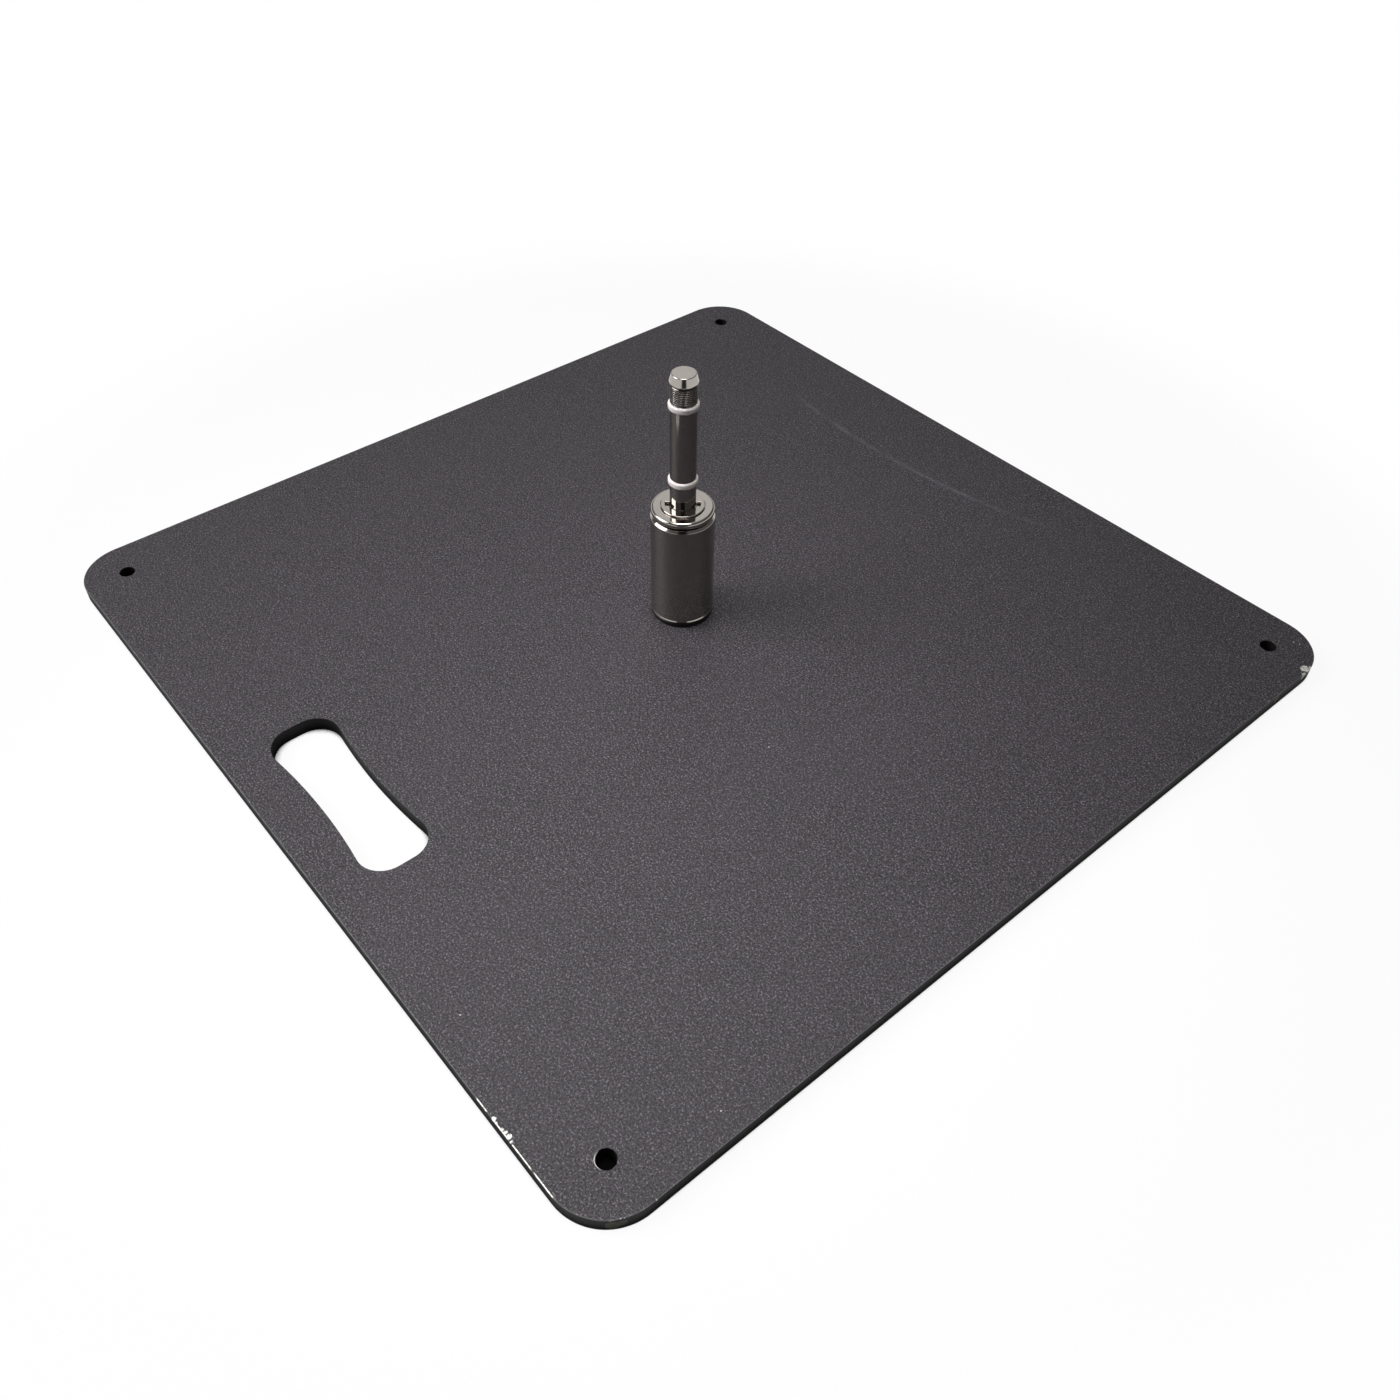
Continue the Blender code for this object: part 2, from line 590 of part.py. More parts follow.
def inner_race_mesh(material):
    """Inner race about the bearing's middle, with a groove for the balls."""
    half = BEARING_HALF_WIDTH
    bore = BEARING_BORE / 2
    spread = math.degrees(math.acos((BALL_PITCH_RADIUS - INNER_LAND_RADIUS) / GROOVE_RADIUS))
    profile = [(bore, -half), (INNER_LAND_RADIUS, -half)]
    profile += arc((BALL_PITCH_RADIUS, 0), GROOVE_RADIUS, 180 + spread, 180 - spread, ARC_STEPS)
    profile += [(INNER_LAND_RADIUS, half), (bore, half)]
    return turned_mesh("inner_race", profile, HIDDEN_SEGMENTS, material)


def outer_race_mesh(material):
    """Outer race about the bearing's middle, with a ball groove and a step for each shield."""
    half = BEARING_HALF_WIDTH
    land = OUTER_LAND_RADIUS
    seat = land + SHIELD_SEAT_DEPTH
    step = SHIELD_FOOT - SEAT_GAP
    spread = math.degrees(math.acos((land - BALL_PITCH_RADIUS) / GROOVE_RADIUS))
    profile = [(BEARING_RADIUS, -half), (BEARING_RADIUS, half)]
    profile += [(seat, half), (seat, step), (land, step)]
    profile += arc((BALL_PITCH_RADIUS, 0), GROOVE_RADIUS, spread, -spread, ARC_STEPS)
    profile += [(land, -step), (seat, -step), (seat, -half)]
    return turned_mesh("outer_race", profile, HIDDEN_SEGMENTS, material)


def shield_mesh(material):
    """Flat shield ring about its own middle."""
    half = SHIELD_THICKNESS / 2
    inner = INNER_LAND_RADIUS + SEAT_GAP
    outer = OUTER_LAND_RADIUS + SHIELD_SEAT_DEPTH - SEAT_GAP
    profile = [(inner, -half), (outer, -half), (outer, half), (inner, half)]
    return turned_mesh("bearing_shield", profile, HIDDEN_SEGMENTS, material)


def ball_angles():
    """The direction of each ball from the bearing's axis."""
    return [360 * number / BALL_COUNT for number in range(BALL_COUNT)]


def ball_mesh(material):
    """One ball about its own middle."""
    bm = bmesh.new()
    bmesh.ops.create_uvsphere(
        bm, u_segments=BALL_SEGMENTS, v_segments=BALL_RINGS, radius=BALL_RADIUS
    )
    mesh = finish_mesh(bm, "bearing_ball", material)
    mesh.shade_smooth()
    return mesh


def pockets_mesh():
    """The spaces round all balls of one bearing, for cutting its cage."""
    bm = bmesh.new()
    for angle in ball_angles():
        turn = Matrix.Rotation(math.radians(angle), 4, "Z")
        place = turn @ Matrix.Translation((BALL_PITCH_RADIUS, 0, 0))
        bmesh.ops.create_uvsphere(
            bm, u_segments=BALL_SEGMENTS, v_segments=BALL_RINGS, radius=GROOVE_RADIUS, matrix=place
        )
    return finish_mesh(bm, "cage_pockets", None)


def cage_ring_mesh(material):
    """The ring that a cage is cut from: a closed back below the balls, horns beside them."""
    inner = BALL_PITCH_RADIUS - CAGE_RADIAL_THICKNESS / 2
    outer = BALL_PITCH_RADIUS + CAGE_RADIAL_THICKNESS / 2
    foot = -CAGE_HALF_SPACE
    top = CAGE_HORN_HEIGHT
    profile = [(inner, foot), (outer, foot), (outer, top), (inner, top)]
    return turned_mesh("ball_cage", profile, HIDDEN_SEGMENTS, material)


def make_bearings(steel, sheet_steel, nylon, spindle_turn):
    """The two ball bearings. Each cage turns about the spigot's axis and carries its balls."""
    inner_race = inner_race_mesh(steel)
    outer_race = outer_race_mesh(steel)
    shield = shield_mesh(sheet_steel)
    ball = ball_mesh(steel)
    pockets = pockets_mesh()
    shield_offset = SHIELD_FOOT + SHIELD_THICKNESS / 2
    for side, middle in (("lower", LOWER_BEARING_MIDDLE), ("upper", UPPER_BEARING_MIDDLE)):
        add_object(f"{side}_outer_race", outer_race, None, (0, 0, middle))
        add_object(f"{side}_inner_race", inner_race, spindle_turn, (0, 0, middle))
        add_object(f"{side}_shield_bottom", shield, None, (0, 0, middle - shield_offset))
        add_object(f"{side}_shield_top", shield, None, (0, 0, middle + shield_offset))
        cage_turn = add_object(f"{side}_cage_turn", None, None, (0, 0, middle))
        cage = add_object(f"{side}_cage", cage_ring_mesh(nylon), cage_turn)
        cut(cage, f"{side}_pocket_cutter", pockets)
        for number, angle in enumerate(ball_angles(), 1):
            x = BALL_PITCH_RADIUS * math.cos(math.radians(angle))
            y = BALL_PITCH_RADIUS * math.sin(math.radians(angle))
            add_object(f"{side}_ball_{number}", ball, cage_turn, (x, y, 0), angle)


def main():
    clear_scene()
    coat = make_material("plate_powder_coat", (0.085, 0.080, 0.085), 0.62, 0.0)
    chrome = make_material("bright_chrome", (0.78, 0.77, 0.75), 0.08, 1.0)
    zinc = make_material("zinc_plated_steel", (0.62, 0.62, 0.60), 0.35, 1.0)
    bearing_steel = make_material("bearing_steel", (0.70, 0.70, 0.70), 0.15, 1.0)
    silicone = make_material("white_silicone", (0.82, 0.80, 0.78), 0.45, 0.0)
    nylon = make_material("cage_nylon", (0.62, 0.58, 0.48), 0.5, 0.0)

    spindle_turn = add_object("spindle_turn", None)
    make_base_plate(coat)
    make_fixing_screw(zinc)
    make_seat_washer(chrome)
    make_housing(chrome)
    make_spindle(chrome, spindle_turn)
    make_turning_disc(chrome, spindle_turn)
    make_disc_clip(zinc, spindle_turn)
    make_bands(silicone, spindle_turn)
    make_end_cap(chrome, spindle_turn)
    make_shaft_clip(zinc, spindle_turn)
    make_bore_clip(zinc)
    make_spacers(zinc, spindle_turn)
    make_bearings(bearing_steel, zinc, nylon, spindle_turn)


main()
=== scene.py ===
# %% [markdown]
# # Steel weight plate with a turning spigot
#
# A square steel plate, powder coated, with a carry slot and a chromed spigot that turns in ball
# bearings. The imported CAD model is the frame: it gives every place and size, and each finished piece
# here stands where its solid stands. This lesson makes the fine shapes first, then the finishes, then
# the light and the camera.

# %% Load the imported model
import json
import math

import bmesh
import bpy
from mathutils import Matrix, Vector


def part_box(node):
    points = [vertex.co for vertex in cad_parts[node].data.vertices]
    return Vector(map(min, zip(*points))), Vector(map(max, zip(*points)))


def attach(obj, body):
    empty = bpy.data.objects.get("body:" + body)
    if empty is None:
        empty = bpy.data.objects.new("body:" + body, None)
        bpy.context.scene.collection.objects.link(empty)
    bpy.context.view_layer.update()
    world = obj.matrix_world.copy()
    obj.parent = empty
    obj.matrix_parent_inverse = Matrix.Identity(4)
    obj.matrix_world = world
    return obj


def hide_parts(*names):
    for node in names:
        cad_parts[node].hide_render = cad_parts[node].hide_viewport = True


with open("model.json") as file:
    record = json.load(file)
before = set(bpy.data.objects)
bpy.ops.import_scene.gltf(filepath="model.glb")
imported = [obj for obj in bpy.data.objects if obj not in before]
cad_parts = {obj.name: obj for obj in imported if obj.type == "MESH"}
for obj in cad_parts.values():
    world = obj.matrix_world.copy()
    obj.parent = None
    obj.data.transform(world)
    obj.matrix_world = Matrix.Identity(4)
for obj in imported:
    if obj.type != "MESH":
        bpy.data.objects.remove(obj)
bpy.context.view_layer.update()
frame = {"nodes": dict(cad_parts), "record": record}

nodes = frame["nodes"]

# %% [markdown]
# ## Sizes
#
# What the frame can say is read from it. The rest are the same real sizes as the CAD model's, such as
# the radius of the plate's corners, because a box has no room for them.

# %% Sizes from the frame and sizes repeated from the model
plate_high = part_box("base_plate")[1]
PLATE_HALF_SIDE = plate_high.x
PLATE_THICKNESS = plate_high.z
PLATE_CORNER_RADIUS = 0.027
PLATE_EDGE_ROUND = 0.0003
CORNER_HOLE_RADIUS = 0.00435
CORNER_HOLE_INSET = 0.0245

SLOT_LENGTH = 0.110
SLOT_END_WIDTH = 0.035
SLOT_WAIST_DRAW_IN = 0.0025
SLOT_CORNER_RADIUS = 0.0135
SLOT_EDGE_DISTANCE = 0.040

SCREW_HOLE_RADIUS = 0.0053
COUNTERSINK_RADIUS = 0.0101
COUNTERSINK_DEPTH = 0.0004
print("plate", PLATE_HALF_SIDE * 2000, "mm square,", PLATE_THICKNESS * 1000, "mm thick")


# %% [markdown]
# ## Outlines
#
# Every flat piece starts as a closed outline of points. Round corners are arcs, so one short function
# that walks along an arc is enough for the plate, the slot and the clip.

# %% Arcs and outlines
CORNER_SIGNS = [(1, 1), (-1, 1), (-1, -1), (1, -1)]


def arc(centre, radius, start, end, steps):
    """Points along an arc about a 2-D centre, angles in degrees, both ends included."""
    angles = [math.radians(start + (end - start) * i / steps) for i in range(steps + 1)]
    return [
        (centre[0] + radius * math.cos(angle), centre[1] + radius * math.sin(angle))
        for angle in angles
    ]


def circle(centre, radius, steps):
    """A closed circle of points."""
    return arc(centre, radius, 0, 360, steps)[:-1]


def plate_outline():
    """The square plate's outline with its round corners."""
    reach = PLATE_HALF_SIDE - PLATE_CORNER_RADIUS
    points = []
    for number, (x, y) in enumerate(CORNER_SIGNS):
        corner = (x * reach, y * reach)
        points += arc(corner, PLATE_CORNER_RADIUS, 90 * number, 90 * (number + 1), 32)
    return points


def slot_outline(middle_y):
    """The carry slot: flat ends, round corners, and long sides drawn in to a waist."""
    radius = SLOT_CORNER_RADIUS
    corner_x = SLOT_LENGTH / 2 - radius
    corner_y = SLOT_END_WIDTH / 2 - radius
    depth = radius - SLOT_WAIST_DRAW_IN
    side_radius = (depth**2 + corner_x**2 - radius**2) / (2 * SLOT_WAIST_DRAW_IN)
    lean = math.degrees(math.asin(corner_x / (side_radius + radius)))
    side_centre = SLOT_END_WIDTH / 2 - SLOT_WAIST_DRAW_IN + side_radius
    right_corner = arc((corner_x, corner_y), radius, 0, 90 + lean, 24)
    long_side = arc((0, side_centre), side_radius, 270 + lean, 270 - lean, 16)[1:-1]
    left_corner = [(-x, y) for x, y in reversed(right_corner)]
    upper_half = right_corner + long_side + left_corner
    outline = upper_half + [(-x, -y) for x, y in upper_half]
    return [(x, y + middle_y) for x, y in outline]


print("slot outline has", len(slot_outline(0)), "points")


# %% [markdown]
# ## Making and keeping a piece
#
# A finished piece is one object at the origin with its place in its mesh. The helper below links it,
# gives it its material and smooth shading that leaves the flat faces flat, hangs it under an empty for
# the body it moves with, and hides the solid it stands for.

# %% Keep a piece
SHARP_ANGLE = math.radians(35)


def keep(name, mesh, material, body, slot, *stands_for):
    """Link a mesh as a finished piece, and say what it rides on and what it replaces. Its slot is not
    used.
    """
    piece = bpy.data.objects.new(name, mesh)
    bpy.context.scene.collection.objects.link(piece)
    mesh.materials.clear()
    mesh.materials.append(material)
    mesh.shade_smooth()
    mesh.set_sharp_from_angle(angle=SHARP_ANGLE)
    shading = piece.modifiers.new("flat faces stay flat", "WEIGHTED_NORMAL")
    shading.keep_sharp = True
    shading.weight = 100
    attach(piece, body)
    if stands_for:
        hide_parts(*stands_for)
    print(name, "has", len(mesh.polygons), "faces")


def plain_mesh(item):
    """The evaluated mesh of an object, as a new mesh of its own. The object is removed."""
    graph = bpy.context.evaluated_depsgraph_get()
    mesh = bpy.data.meshes.new_from_object(item.evaluated_get(graph), depsgraph=graph)
    bpy.data.objects.remove(item, do_unlink=True)
    return mesh


def tidy_mesh(mesh):
    """Merge doubled points and turn all faces outwards."""
    bm = bmesh.new()
    bm.from_mesh(mesh)
    bmesh.ops.remove_doubles(bm, verts=bm.verts, dist=1e-6)
    bmesh.ops.recalc_face_normals(bm, faces=bm.faces)
    bm.to_mesh(mesh)
    bm.free()
    return mesh


print("edges sharper than", round(math.degrees(SHARP_ANGLE)), "degrees stay sharp")


# %% [markdown]
# ## Colours and nodes
#
# Colours are written as they look on a screen, and one function turns them to the linear values that
# a shader needs. One more function adds any node with its settings and its inputs, so that each
# material below reads from top to bottom. A list of inputs fills the node's open sockets in order,
# and a node that is given as an input stands for its first open output. The kinds of node that come
# up again and again have a short name, such as "noise" or "add".

# %% Colour and node helpers
def screen_colour(code):
    """Linear red, green, blue and alpha of a screen colour such as 8a8f93."""
    channels = [int(code[i : i + 2], 16) / 255 for i in (0, 2, 4)]
    linear = [c / 12.92 if c <= 0.04045 else ((c + 0.055) / 1.055) ** 2.4 for c in channels]
    return (*linear, 1.0)


# Short names, each with the kind of node and the settings that it always has
NODE_KINDS = {
    "noise": ("ShaderNodeTexNoise", {}),
    "mix": ("ShaderNodeMix", {"data_type": "RGBA"}),
    "smooth step": ("ShaderNodeMapRange", {"interpolation_type": "SMOOTHSTEP"}),
}
NUMBER_MATHS = ["add", "subtract", "multiply", "divide", "multiply add", "minimum", "maximum"]
NUMBER_MATHS += ["absolute", "sqrt", "fract", "arctan2", "greater than"]
VECTOR_MATHS = ["distance", "dot product", "normalize", "length"]
for node_kind, words in (("ShaderNodeMath", NUMBER_MATHS), ("ShaderNodeVectorMath", VECTOR_MATHS)):
    for word in words:
        NODE_KINDS[word] = (node_kind, {"operation": word.upper().replace(" ", "_")})


def set_input(tree, socket, value):
    """Give an input a plain value, or link it to a socket or to a node's first open output."""
    if isinstance(value, bpy.types.Node):
        value = next(output for output in value.outputs if output.enabled)
    if isinstance(value, bpy.types.NodeSocket):
        tree.links.new(value, socket)
    else:
        socket.default_value = value


def add_node(tree, kind, inputs=(), **settings):
    """Add a node with its settings. Its inputs are a list, in order, or a dict by name or number."""
    kind, usual_settings = NODE_KINDS.get(kind, (kind, {}))
    node = tree.nodes.new(kind)
    for name, value in {**usual_settings, **settings}.items():
        setattr(node, name, value)
    if isinstance(inputs, dict):
        given = [(node.inputs[name], value) for name, value in inputs.items()]
    else:
        given = list(zip([socket for socket in node.inputs if socket.enabled], inputs))
    for socket, value in given:
        set_input(tree, socket, value)
    return node


def new_material(name):
    """An empty node material. Returns it with its tree, its Principled shader and its positions."""
    material = bpy.data.materials.new(name)
    material.use_nodes = True
    tree = material.node_tree
    shader = tree.nodes["Principled BSDF"]
    place = add_node(tree, "ShaderNodeTexCoord").outputs["Object"]
    return material, tree, shader, place


MILLIMETRE = 0.001


def scale_for(size_mm):
    """A texture's scale so that one of its features is size_mm wide, on positions in metres."""
    return 1 / (size_mm * MILLIMETRE)


print("short names for", len(NODE_KINDS), "kinds of node")


# %% [markdown]
# ## Powder coat: where it is worn
#
# The plate has a fine-texture polyester powder coat: charcoal with a slight purple cast, baked on,
# dull and finely pebbled. To the eye it is a soft grey grain that never mirrors. Where the plate was
# set down and stacked, its edge shows bare steel: a bright line with small chips on the front edge,
# and larger chips at one corner. This wear belongs to its places and not to every edge, so the places
# are listed first, all in millimetres, with the place of a painted highlight on the near hole's rim.

# %% Worn places, and the place of a painted highlight
EDGE_WEAR_WIDTH_MM = 0.55
# Each worn stretch of the edge: x, y, radius in mm and how strongly the coat is gone there
EDGE_RUBS = [
    (177, -250, 7, 0.90),
    (190, -250, 9, 0.95),
    (205, -250, 11, 0.95),
    (218, -250, 11, 0.95),
    (246, -236, 8, 0.55),
    (-243, 243, 10, 0.30),
    (-250, -120, 30, 0.25),
]
# Places where the coat is chipped off to the steel beyond the edge: x, y, z, radius in mm
CHIPS = [
    (184.8, -249.5, 7.9, 1.0),
    (187.0, -249.7, 7.9, 0.5),
    (190.4, -249.3, 8.0, 0.6),
    (192.5, -248.9, 8.0, 0.7),
    (194.6, -248.9, 8.0, 1.1),
    (197.0, -249.4, 8.0, 0.5),
    (248.0, 224.6, 8.0, 2.3),
    (249.6, 227.4, 8.0, 1.0),
    (250.0, 220.5, 6.6, 1.8),
    (248.0, -234.0, 7.8, 0.5),
    (249.9, -228.8, 7.8, 0.4),
    (250.0, -220.5, 7.8, 0.3),
]
# Places where it is scuffed down to the dull undercoat
SCUFFS = [
    (245.4, -238.0, 3.6, 2.8),
    (247.4, -234.6, 4.4, 1.9),
    (249.9, 196.0, 5.0, 2.2),
]
PLATE_TOP_MM = PLATE_THICKNESS / MILLIMETRE
NEAR_HOLE_MM = (PLATE_HALF_SIDE - CORNER_HOLE_INSET) / MILLIMETRE
HOLE_RIM_MM = (CORNER_HOLE_RADIUS + 0.4 * PLATE_EDGE_ROUND) * 1000
# Middle of the painted highlight on the near hole's rim, and how far it reaches
RIM_HIGHLIGHT_MIDDLE = (223.6, -229.6, 8.0)
RIM_HIGHLIGHT_REACH = 5.0
# Three points that the long faint scratch goes through
SCRATCH_POINTS = [(-112.4, 197.8), (-17.3, 194.7), (85.7, 215.1)]
SPECKS = [(108.4, -33.7), (238.6, -179.0), (137.9, -234.6), (232.6, 238.9), (235.6, 239.8)]
SPECK_SPACING_MM = 26.0
print("edge rubs", len(EDGE_RUBS), "chips", len(CHIPS), "scuffs", len(SCUFFS), "specks", len(SPECKS))


# %% [markdown]
# ## Powder coat: distances
#
# Each worn place is painted by how far a point of the surface is from it. These functions measure
# that in a shader: from a point, from the plate's outline, and from its upper edge. The outline is
# measured with its round corners, so a line of wear follows them without a break.

# %% Distances on the plate
def distance_to(tree, place, point_mm):
    """Distance in mm from a point of the plate."""
    point = [value * MILLIMETRE for value in point_mm]
    return add_node(tree, "divide", [add_node(tree, "distance", [place, point]), MILLIMETRE])


def distance_inside_edge(tree, place):
    """How far a point lies inside the plate's outline, in mm, round corners included."""
    axes = add_node(tree, "ShaderNodeSeparateXYZ", [place])
    reach = PLATE_HALF_SIDE - PLATE_CORNER_RADIUS
    past = []
    for axis in ("X", "Y"):
        size = add_node(tree, "absolute", [axes.outputs[axis]])
        past.append(add_node(tree, "subtract", [size, reach]))
    beyond = [add_node(tree, "maximum", [value, 0.0]) for value in past]
    squares = [add_node(tree, "multiply", [value, value]) for value in beyond]
    corner = add_node(tree, "sqrt", [add_node(tree, "add", squares)])
    inner = add_node(tree, "minimum", [add_node(tree, "maximum", past), 0.0])
    outside = add_node(tree, "add", [corner, inner])
    inside = add_node(tree, "subtract", [PLATE_CORNER_RADIUS, outside])
    return add_node(tree, "divide", [inside, MILLIMETRE])


def distance_from_arris(tree, place):
    """How far a point is from the plate's upper outer edge, in mm along the two faces."""
    height = add_node(tree, "ShaderNodeSeparateXYZ", [place]).outputs["Z"]
    height_mm = add_node(tree, "divide", [height, MILLIMETRE])
    below_top = add_node(tree, "subtract", [PLATE_TOP_MM, height_mm])
    return add_node(tree, "add", [distance_inside_edge(tree, place), below_top])


def circle_through(a, b, c):
    """Centre and radius of the circle through three points."""
    (ax, ay), (bx, by), (cx, cy) = a, b, c
    turn = 2 * (ax * (by - cy) + bx * (cy - ay) + cx * (ay - by))
    a2, b2, c2 = ax**2 + ay**2, bx**2 + by**2, cx**2 + cy**2
    x = (a2 * (by - cy) + b2 * (cy - ay) + c2 * (ay - by)) / turn
    y = (a2 * (cx - bx) + b2 * (ax - cx) + c2 * (bx - ax)) / turn
    return (x, y), math.hypot(ax - x, ay - y)


print("the scratch has a radius of", round(circle_through(*SCRATCH_POINTS)[1]), "mm")


# %% [markdown]
# ## Powder coat: masks of the bare places, and of painted highlight and shade
#
# A mask is 1 where a kind of wear, or a painted highlight or shade, is and 0 elsewhere. Chips and
# scuffs are round spots whose distance gets some noise, so that their outlines are ragged. The line
# along the edge shows only where a rub and the noise together are strong enough, which breaks it as
# real wear is broken.

# %% Masks of chips and rubbed edge, and of painted highlight on the hole rim and painted shade on cut faces
def broken_spots(tree, place, spots):
    """1 inside any of the spots, each x, y, z and radius in mm, with ragged outlines."""
    ragged = add_node(tree, "noise", [place, scale_for(1.3), 3.0, 0.6])
    ragged = add_node(tree, "multiply", [ragged, 1.8])
    mask = 0.0
    for x, y, z, radius in spots:
        near = add_node(tree, "add", [distance_to(tree, place, (x, y, z)), ragged])
        # The noise adds about 0.9 mm to the distance, so the rim is looked for that much further out
        spot = add_node(tree, "smooth step", [near, radius + 1.1, radius + 0.8])
        mask = add_node(tree, "maximum", [mask, spot])
    return mask


def worn_mask(tree, place, from_arris):
    """1 where the coat is gone, 0 where it is whole."""
    edge = add_node(tree, "smooth step", [from_arris, EDGE_WEAR_WIDTH_MM, EDGE_WEAR_WIDTH_MM * 0.6])
    rubbed = 0.0
    for x, y, radius, strength in EDGE_RUBS:
        near = distance_to(tree, place, (x, y, PLATE_TOP_MM))
        spot = add_node(tree, "smooth step", [near, radius, radius * 0.2, 0.0, strength])
        rubbed = add_node(tree, "maximum", [rubbed, spot])
    broken = add_node(tree, "noise", [place, scale_for(2.2), 3.0, 0.65])
    amount = add_node(tree, "add", [add_node(tree, "multiply", [rubbed, 0.55]), broken])
    line = add_node(tree, "multiply", [add_node(tree, "smooth step", [amount, 0.74, 0.86]), edge])
    return add_node(tree, "maximum", [line, broken_spots(tree, place, CHIPS)])


def near_hole_rim_highlight_mask(tree, place):
    """A painted highlight: the thin pale line on the near hole's edge, where its rounded rim catches
    the light.
    """
    from_axis = distance_to(tree, place, (NEAR_HOLE_MM, -NEAR_HOLE_MM, PLATE_TOP_MM))
    off = add_node(tree, "absolute", [add_node(tree, "subtract", [from_axis, HOLE_RIM_MM])])
    line = add_node(tree, "smooth step", [off, 0.35, 0.12])
    from_middle = distance_to(tree, place, RIM_HIGHLIGHT_MIDDLE)
    window = add_node(tree, "smooth step", [from_middle, RIM_HIGHLIGHT_REACH, RIM_HIGHLIGHT_REACH * 0.4])
    return add_node(tree, "multiply", [line, window])


def cut_face_shade_mask(tree):
    """1 on the laser-cut edges and in the holes, where the coat is painted nearly black as shade; 0 on
    the flat faces.
    """
    facing = add_node(tree, "ShaderNodeNewGeometry").outputs["Normal"]
    upright = add_node(tree, "ShaderNodeSeparateXYZ", [facing]).outputs["Z"]
    return add_node(tree, "smooth step", [add_node(tree, "absolute", [upright]), 0.75, 0.35])


print("near hole's rim has a radius of", round(HOLE_RIM_MM, 2), "mm")


# %% [markdown]
# ## Powder coat: masks of the faint marks
#
# One long scratch runs over the far half of the plate as part of a large circle. It wanders a little,
# comes and goes along its length, and fades at both ends. Small pale specks lie on the plate: a few
# with a place of their own, and a thin scatter from the cells of a Voronoi pattern.

# %% Masks of the scratch and the specks
def scratch_mask(tree, place):
    """The faint long arc on the plate's top, broken along its length."""
    (x, y), radius = circle_through(*SCRATCH_POINTS)
    off = add_node(tree, "subtract", [distance_to(tree, place, (x, y, PLATE_TOP_MM)), radius])
    wander = add_node(tree, "noise", [place, scale_for(30.0)])
    wander = add_node(tree, "multiply", [wander, 2.4])
    across = add_node(tree, "absolute", [add_node(tree, "add", [off, wander])])
    line = add_node(tree, "smooth step", [across, 2.6, 0.2])
    broken = add_node(tree, "noise", [place, scale_for(18.0), 3.0, 0.6])
    broken = add_node(tree, "smooth step", [broken, 0.35, 0.65, 0.25, 1.0])
    ends = (SCRATCH_POINTS[0][0], SCRATCH_POINTS[2][0])
    middle = ((ends[0] + ends[1]) / 2, SCRATCH_POINTS[1][1], PLATE_TOP_MM)
    reach = (ends[1] - ends[0]) / 2
    from_middle = distance_to(tree, place, middle)
    window = add_node(tree, "smooth step", [from_middle, reach + 12, reach - 12])
    return add_node(tree, "multiply", [add_node(tree, "multiply", [line, broken]), window])


def speck_mask(tree, place):
    """Small pale specks: a few named ones and a thin scatter over the whole plate."""
    inputs = {"Vector": place, "Scale": scale_for(SPECK_SPACING_MM), "Randomness": 1.0}
    cells = add_node(tree, "ShaderNodeTexVoronoi", inputs, feature="F1")
    from_middle = add_node(tree, "multiply", [cells.outputs["Distance"], SPECK_SPACING_MM])
    near = add_node(tree, "smooth step", [from_middle, 0.34, 0.16])
    chance = add_node(tree, "ShaderNodeSeparateColor", [cells.outputs["Color"]])
    chosen = add_node(tree, "greater than", [chance, 0.8])
    mask = add_node(tree, "multiply", [add_node(tree, "multiply", [near, chosen]), 0.4])
    for x, y in SPECKS:
        from_speck = distance_to(tree, place, (x, y, PLATE_TOP_MM))
        spot = add_node(tree, "smooth step", [from_speck, 0.5, 0.2])
        mask = add_node(tree, "maximum", [mask, spot])
    return mask


print("specks are scattered in cells of", SPECK_SPACING_MM, "mm")


# %% [markdown]
# ## Powder coat: the finish
#
# The grain is two colours of charcoal with paler flecks, and a large faint cloud keeps it from being
# all alike. The marks are laid over it one by one. The upper edge is a little paler all round, a
# painted highlight, and the laser-cut faces and the holes are nearly black, painted shade. The bump
# and the roughness follow the pebbles of the coat, and bare steel is smoother and partly metallic.

# %% Powder coat
# The real pebbles and their grain are about 0.3 mm. They are drawn two to three times as wide, so
# that a render still shows them.
PEBBLE_MM = 0.8
GRAIN_MM = 1.0
FLECK_MM = 0.9
PEBBLE_DEPTH = 0.00035
CLOUD_MM = 90.0
TARNISH_MM = 1.6
COAT_ROUGHNESS = (0.52, 0.64)
COAT_SPECULAR = 0.4


def grained_coat(tree, place):
    """The colour of the whole coat: charcoal grain, paler flecks and a large faint cloud."""
    grain = add_node(tree, "noise", [place, scale_for(GRAIN_MM), 2.0, 0.85])
    cloud = add_node(tree, "noise", [place, scale_for(CLOUD_MM), 3.0, 0.55])
    shade = add_node(tree, "smooth step", [grain, 0.45, 0.57])
    coat = add_node(tree, "mix", [shade, screen_colour("0c0b0c"), screen_colour("423e43")])
    fleck = add_node(tree, "noise", [place, scale_for(FLECK_MM), 2.0, 0.6])
    fleck = add_node(tree, "smooth step", [fleck, 0.56, 0.66, 0.0, 0.85])
    coat = add_node(tree, "mix", [fleck, coat, screen_colour("7d777e")])
    cloud = add_node(tree, "smooth step", [cloud, 0.3, 0.7, 0.0, 0.15])
    return add_node(tree, "mix", [cloud, coat, screen_colour("3f3b40")])


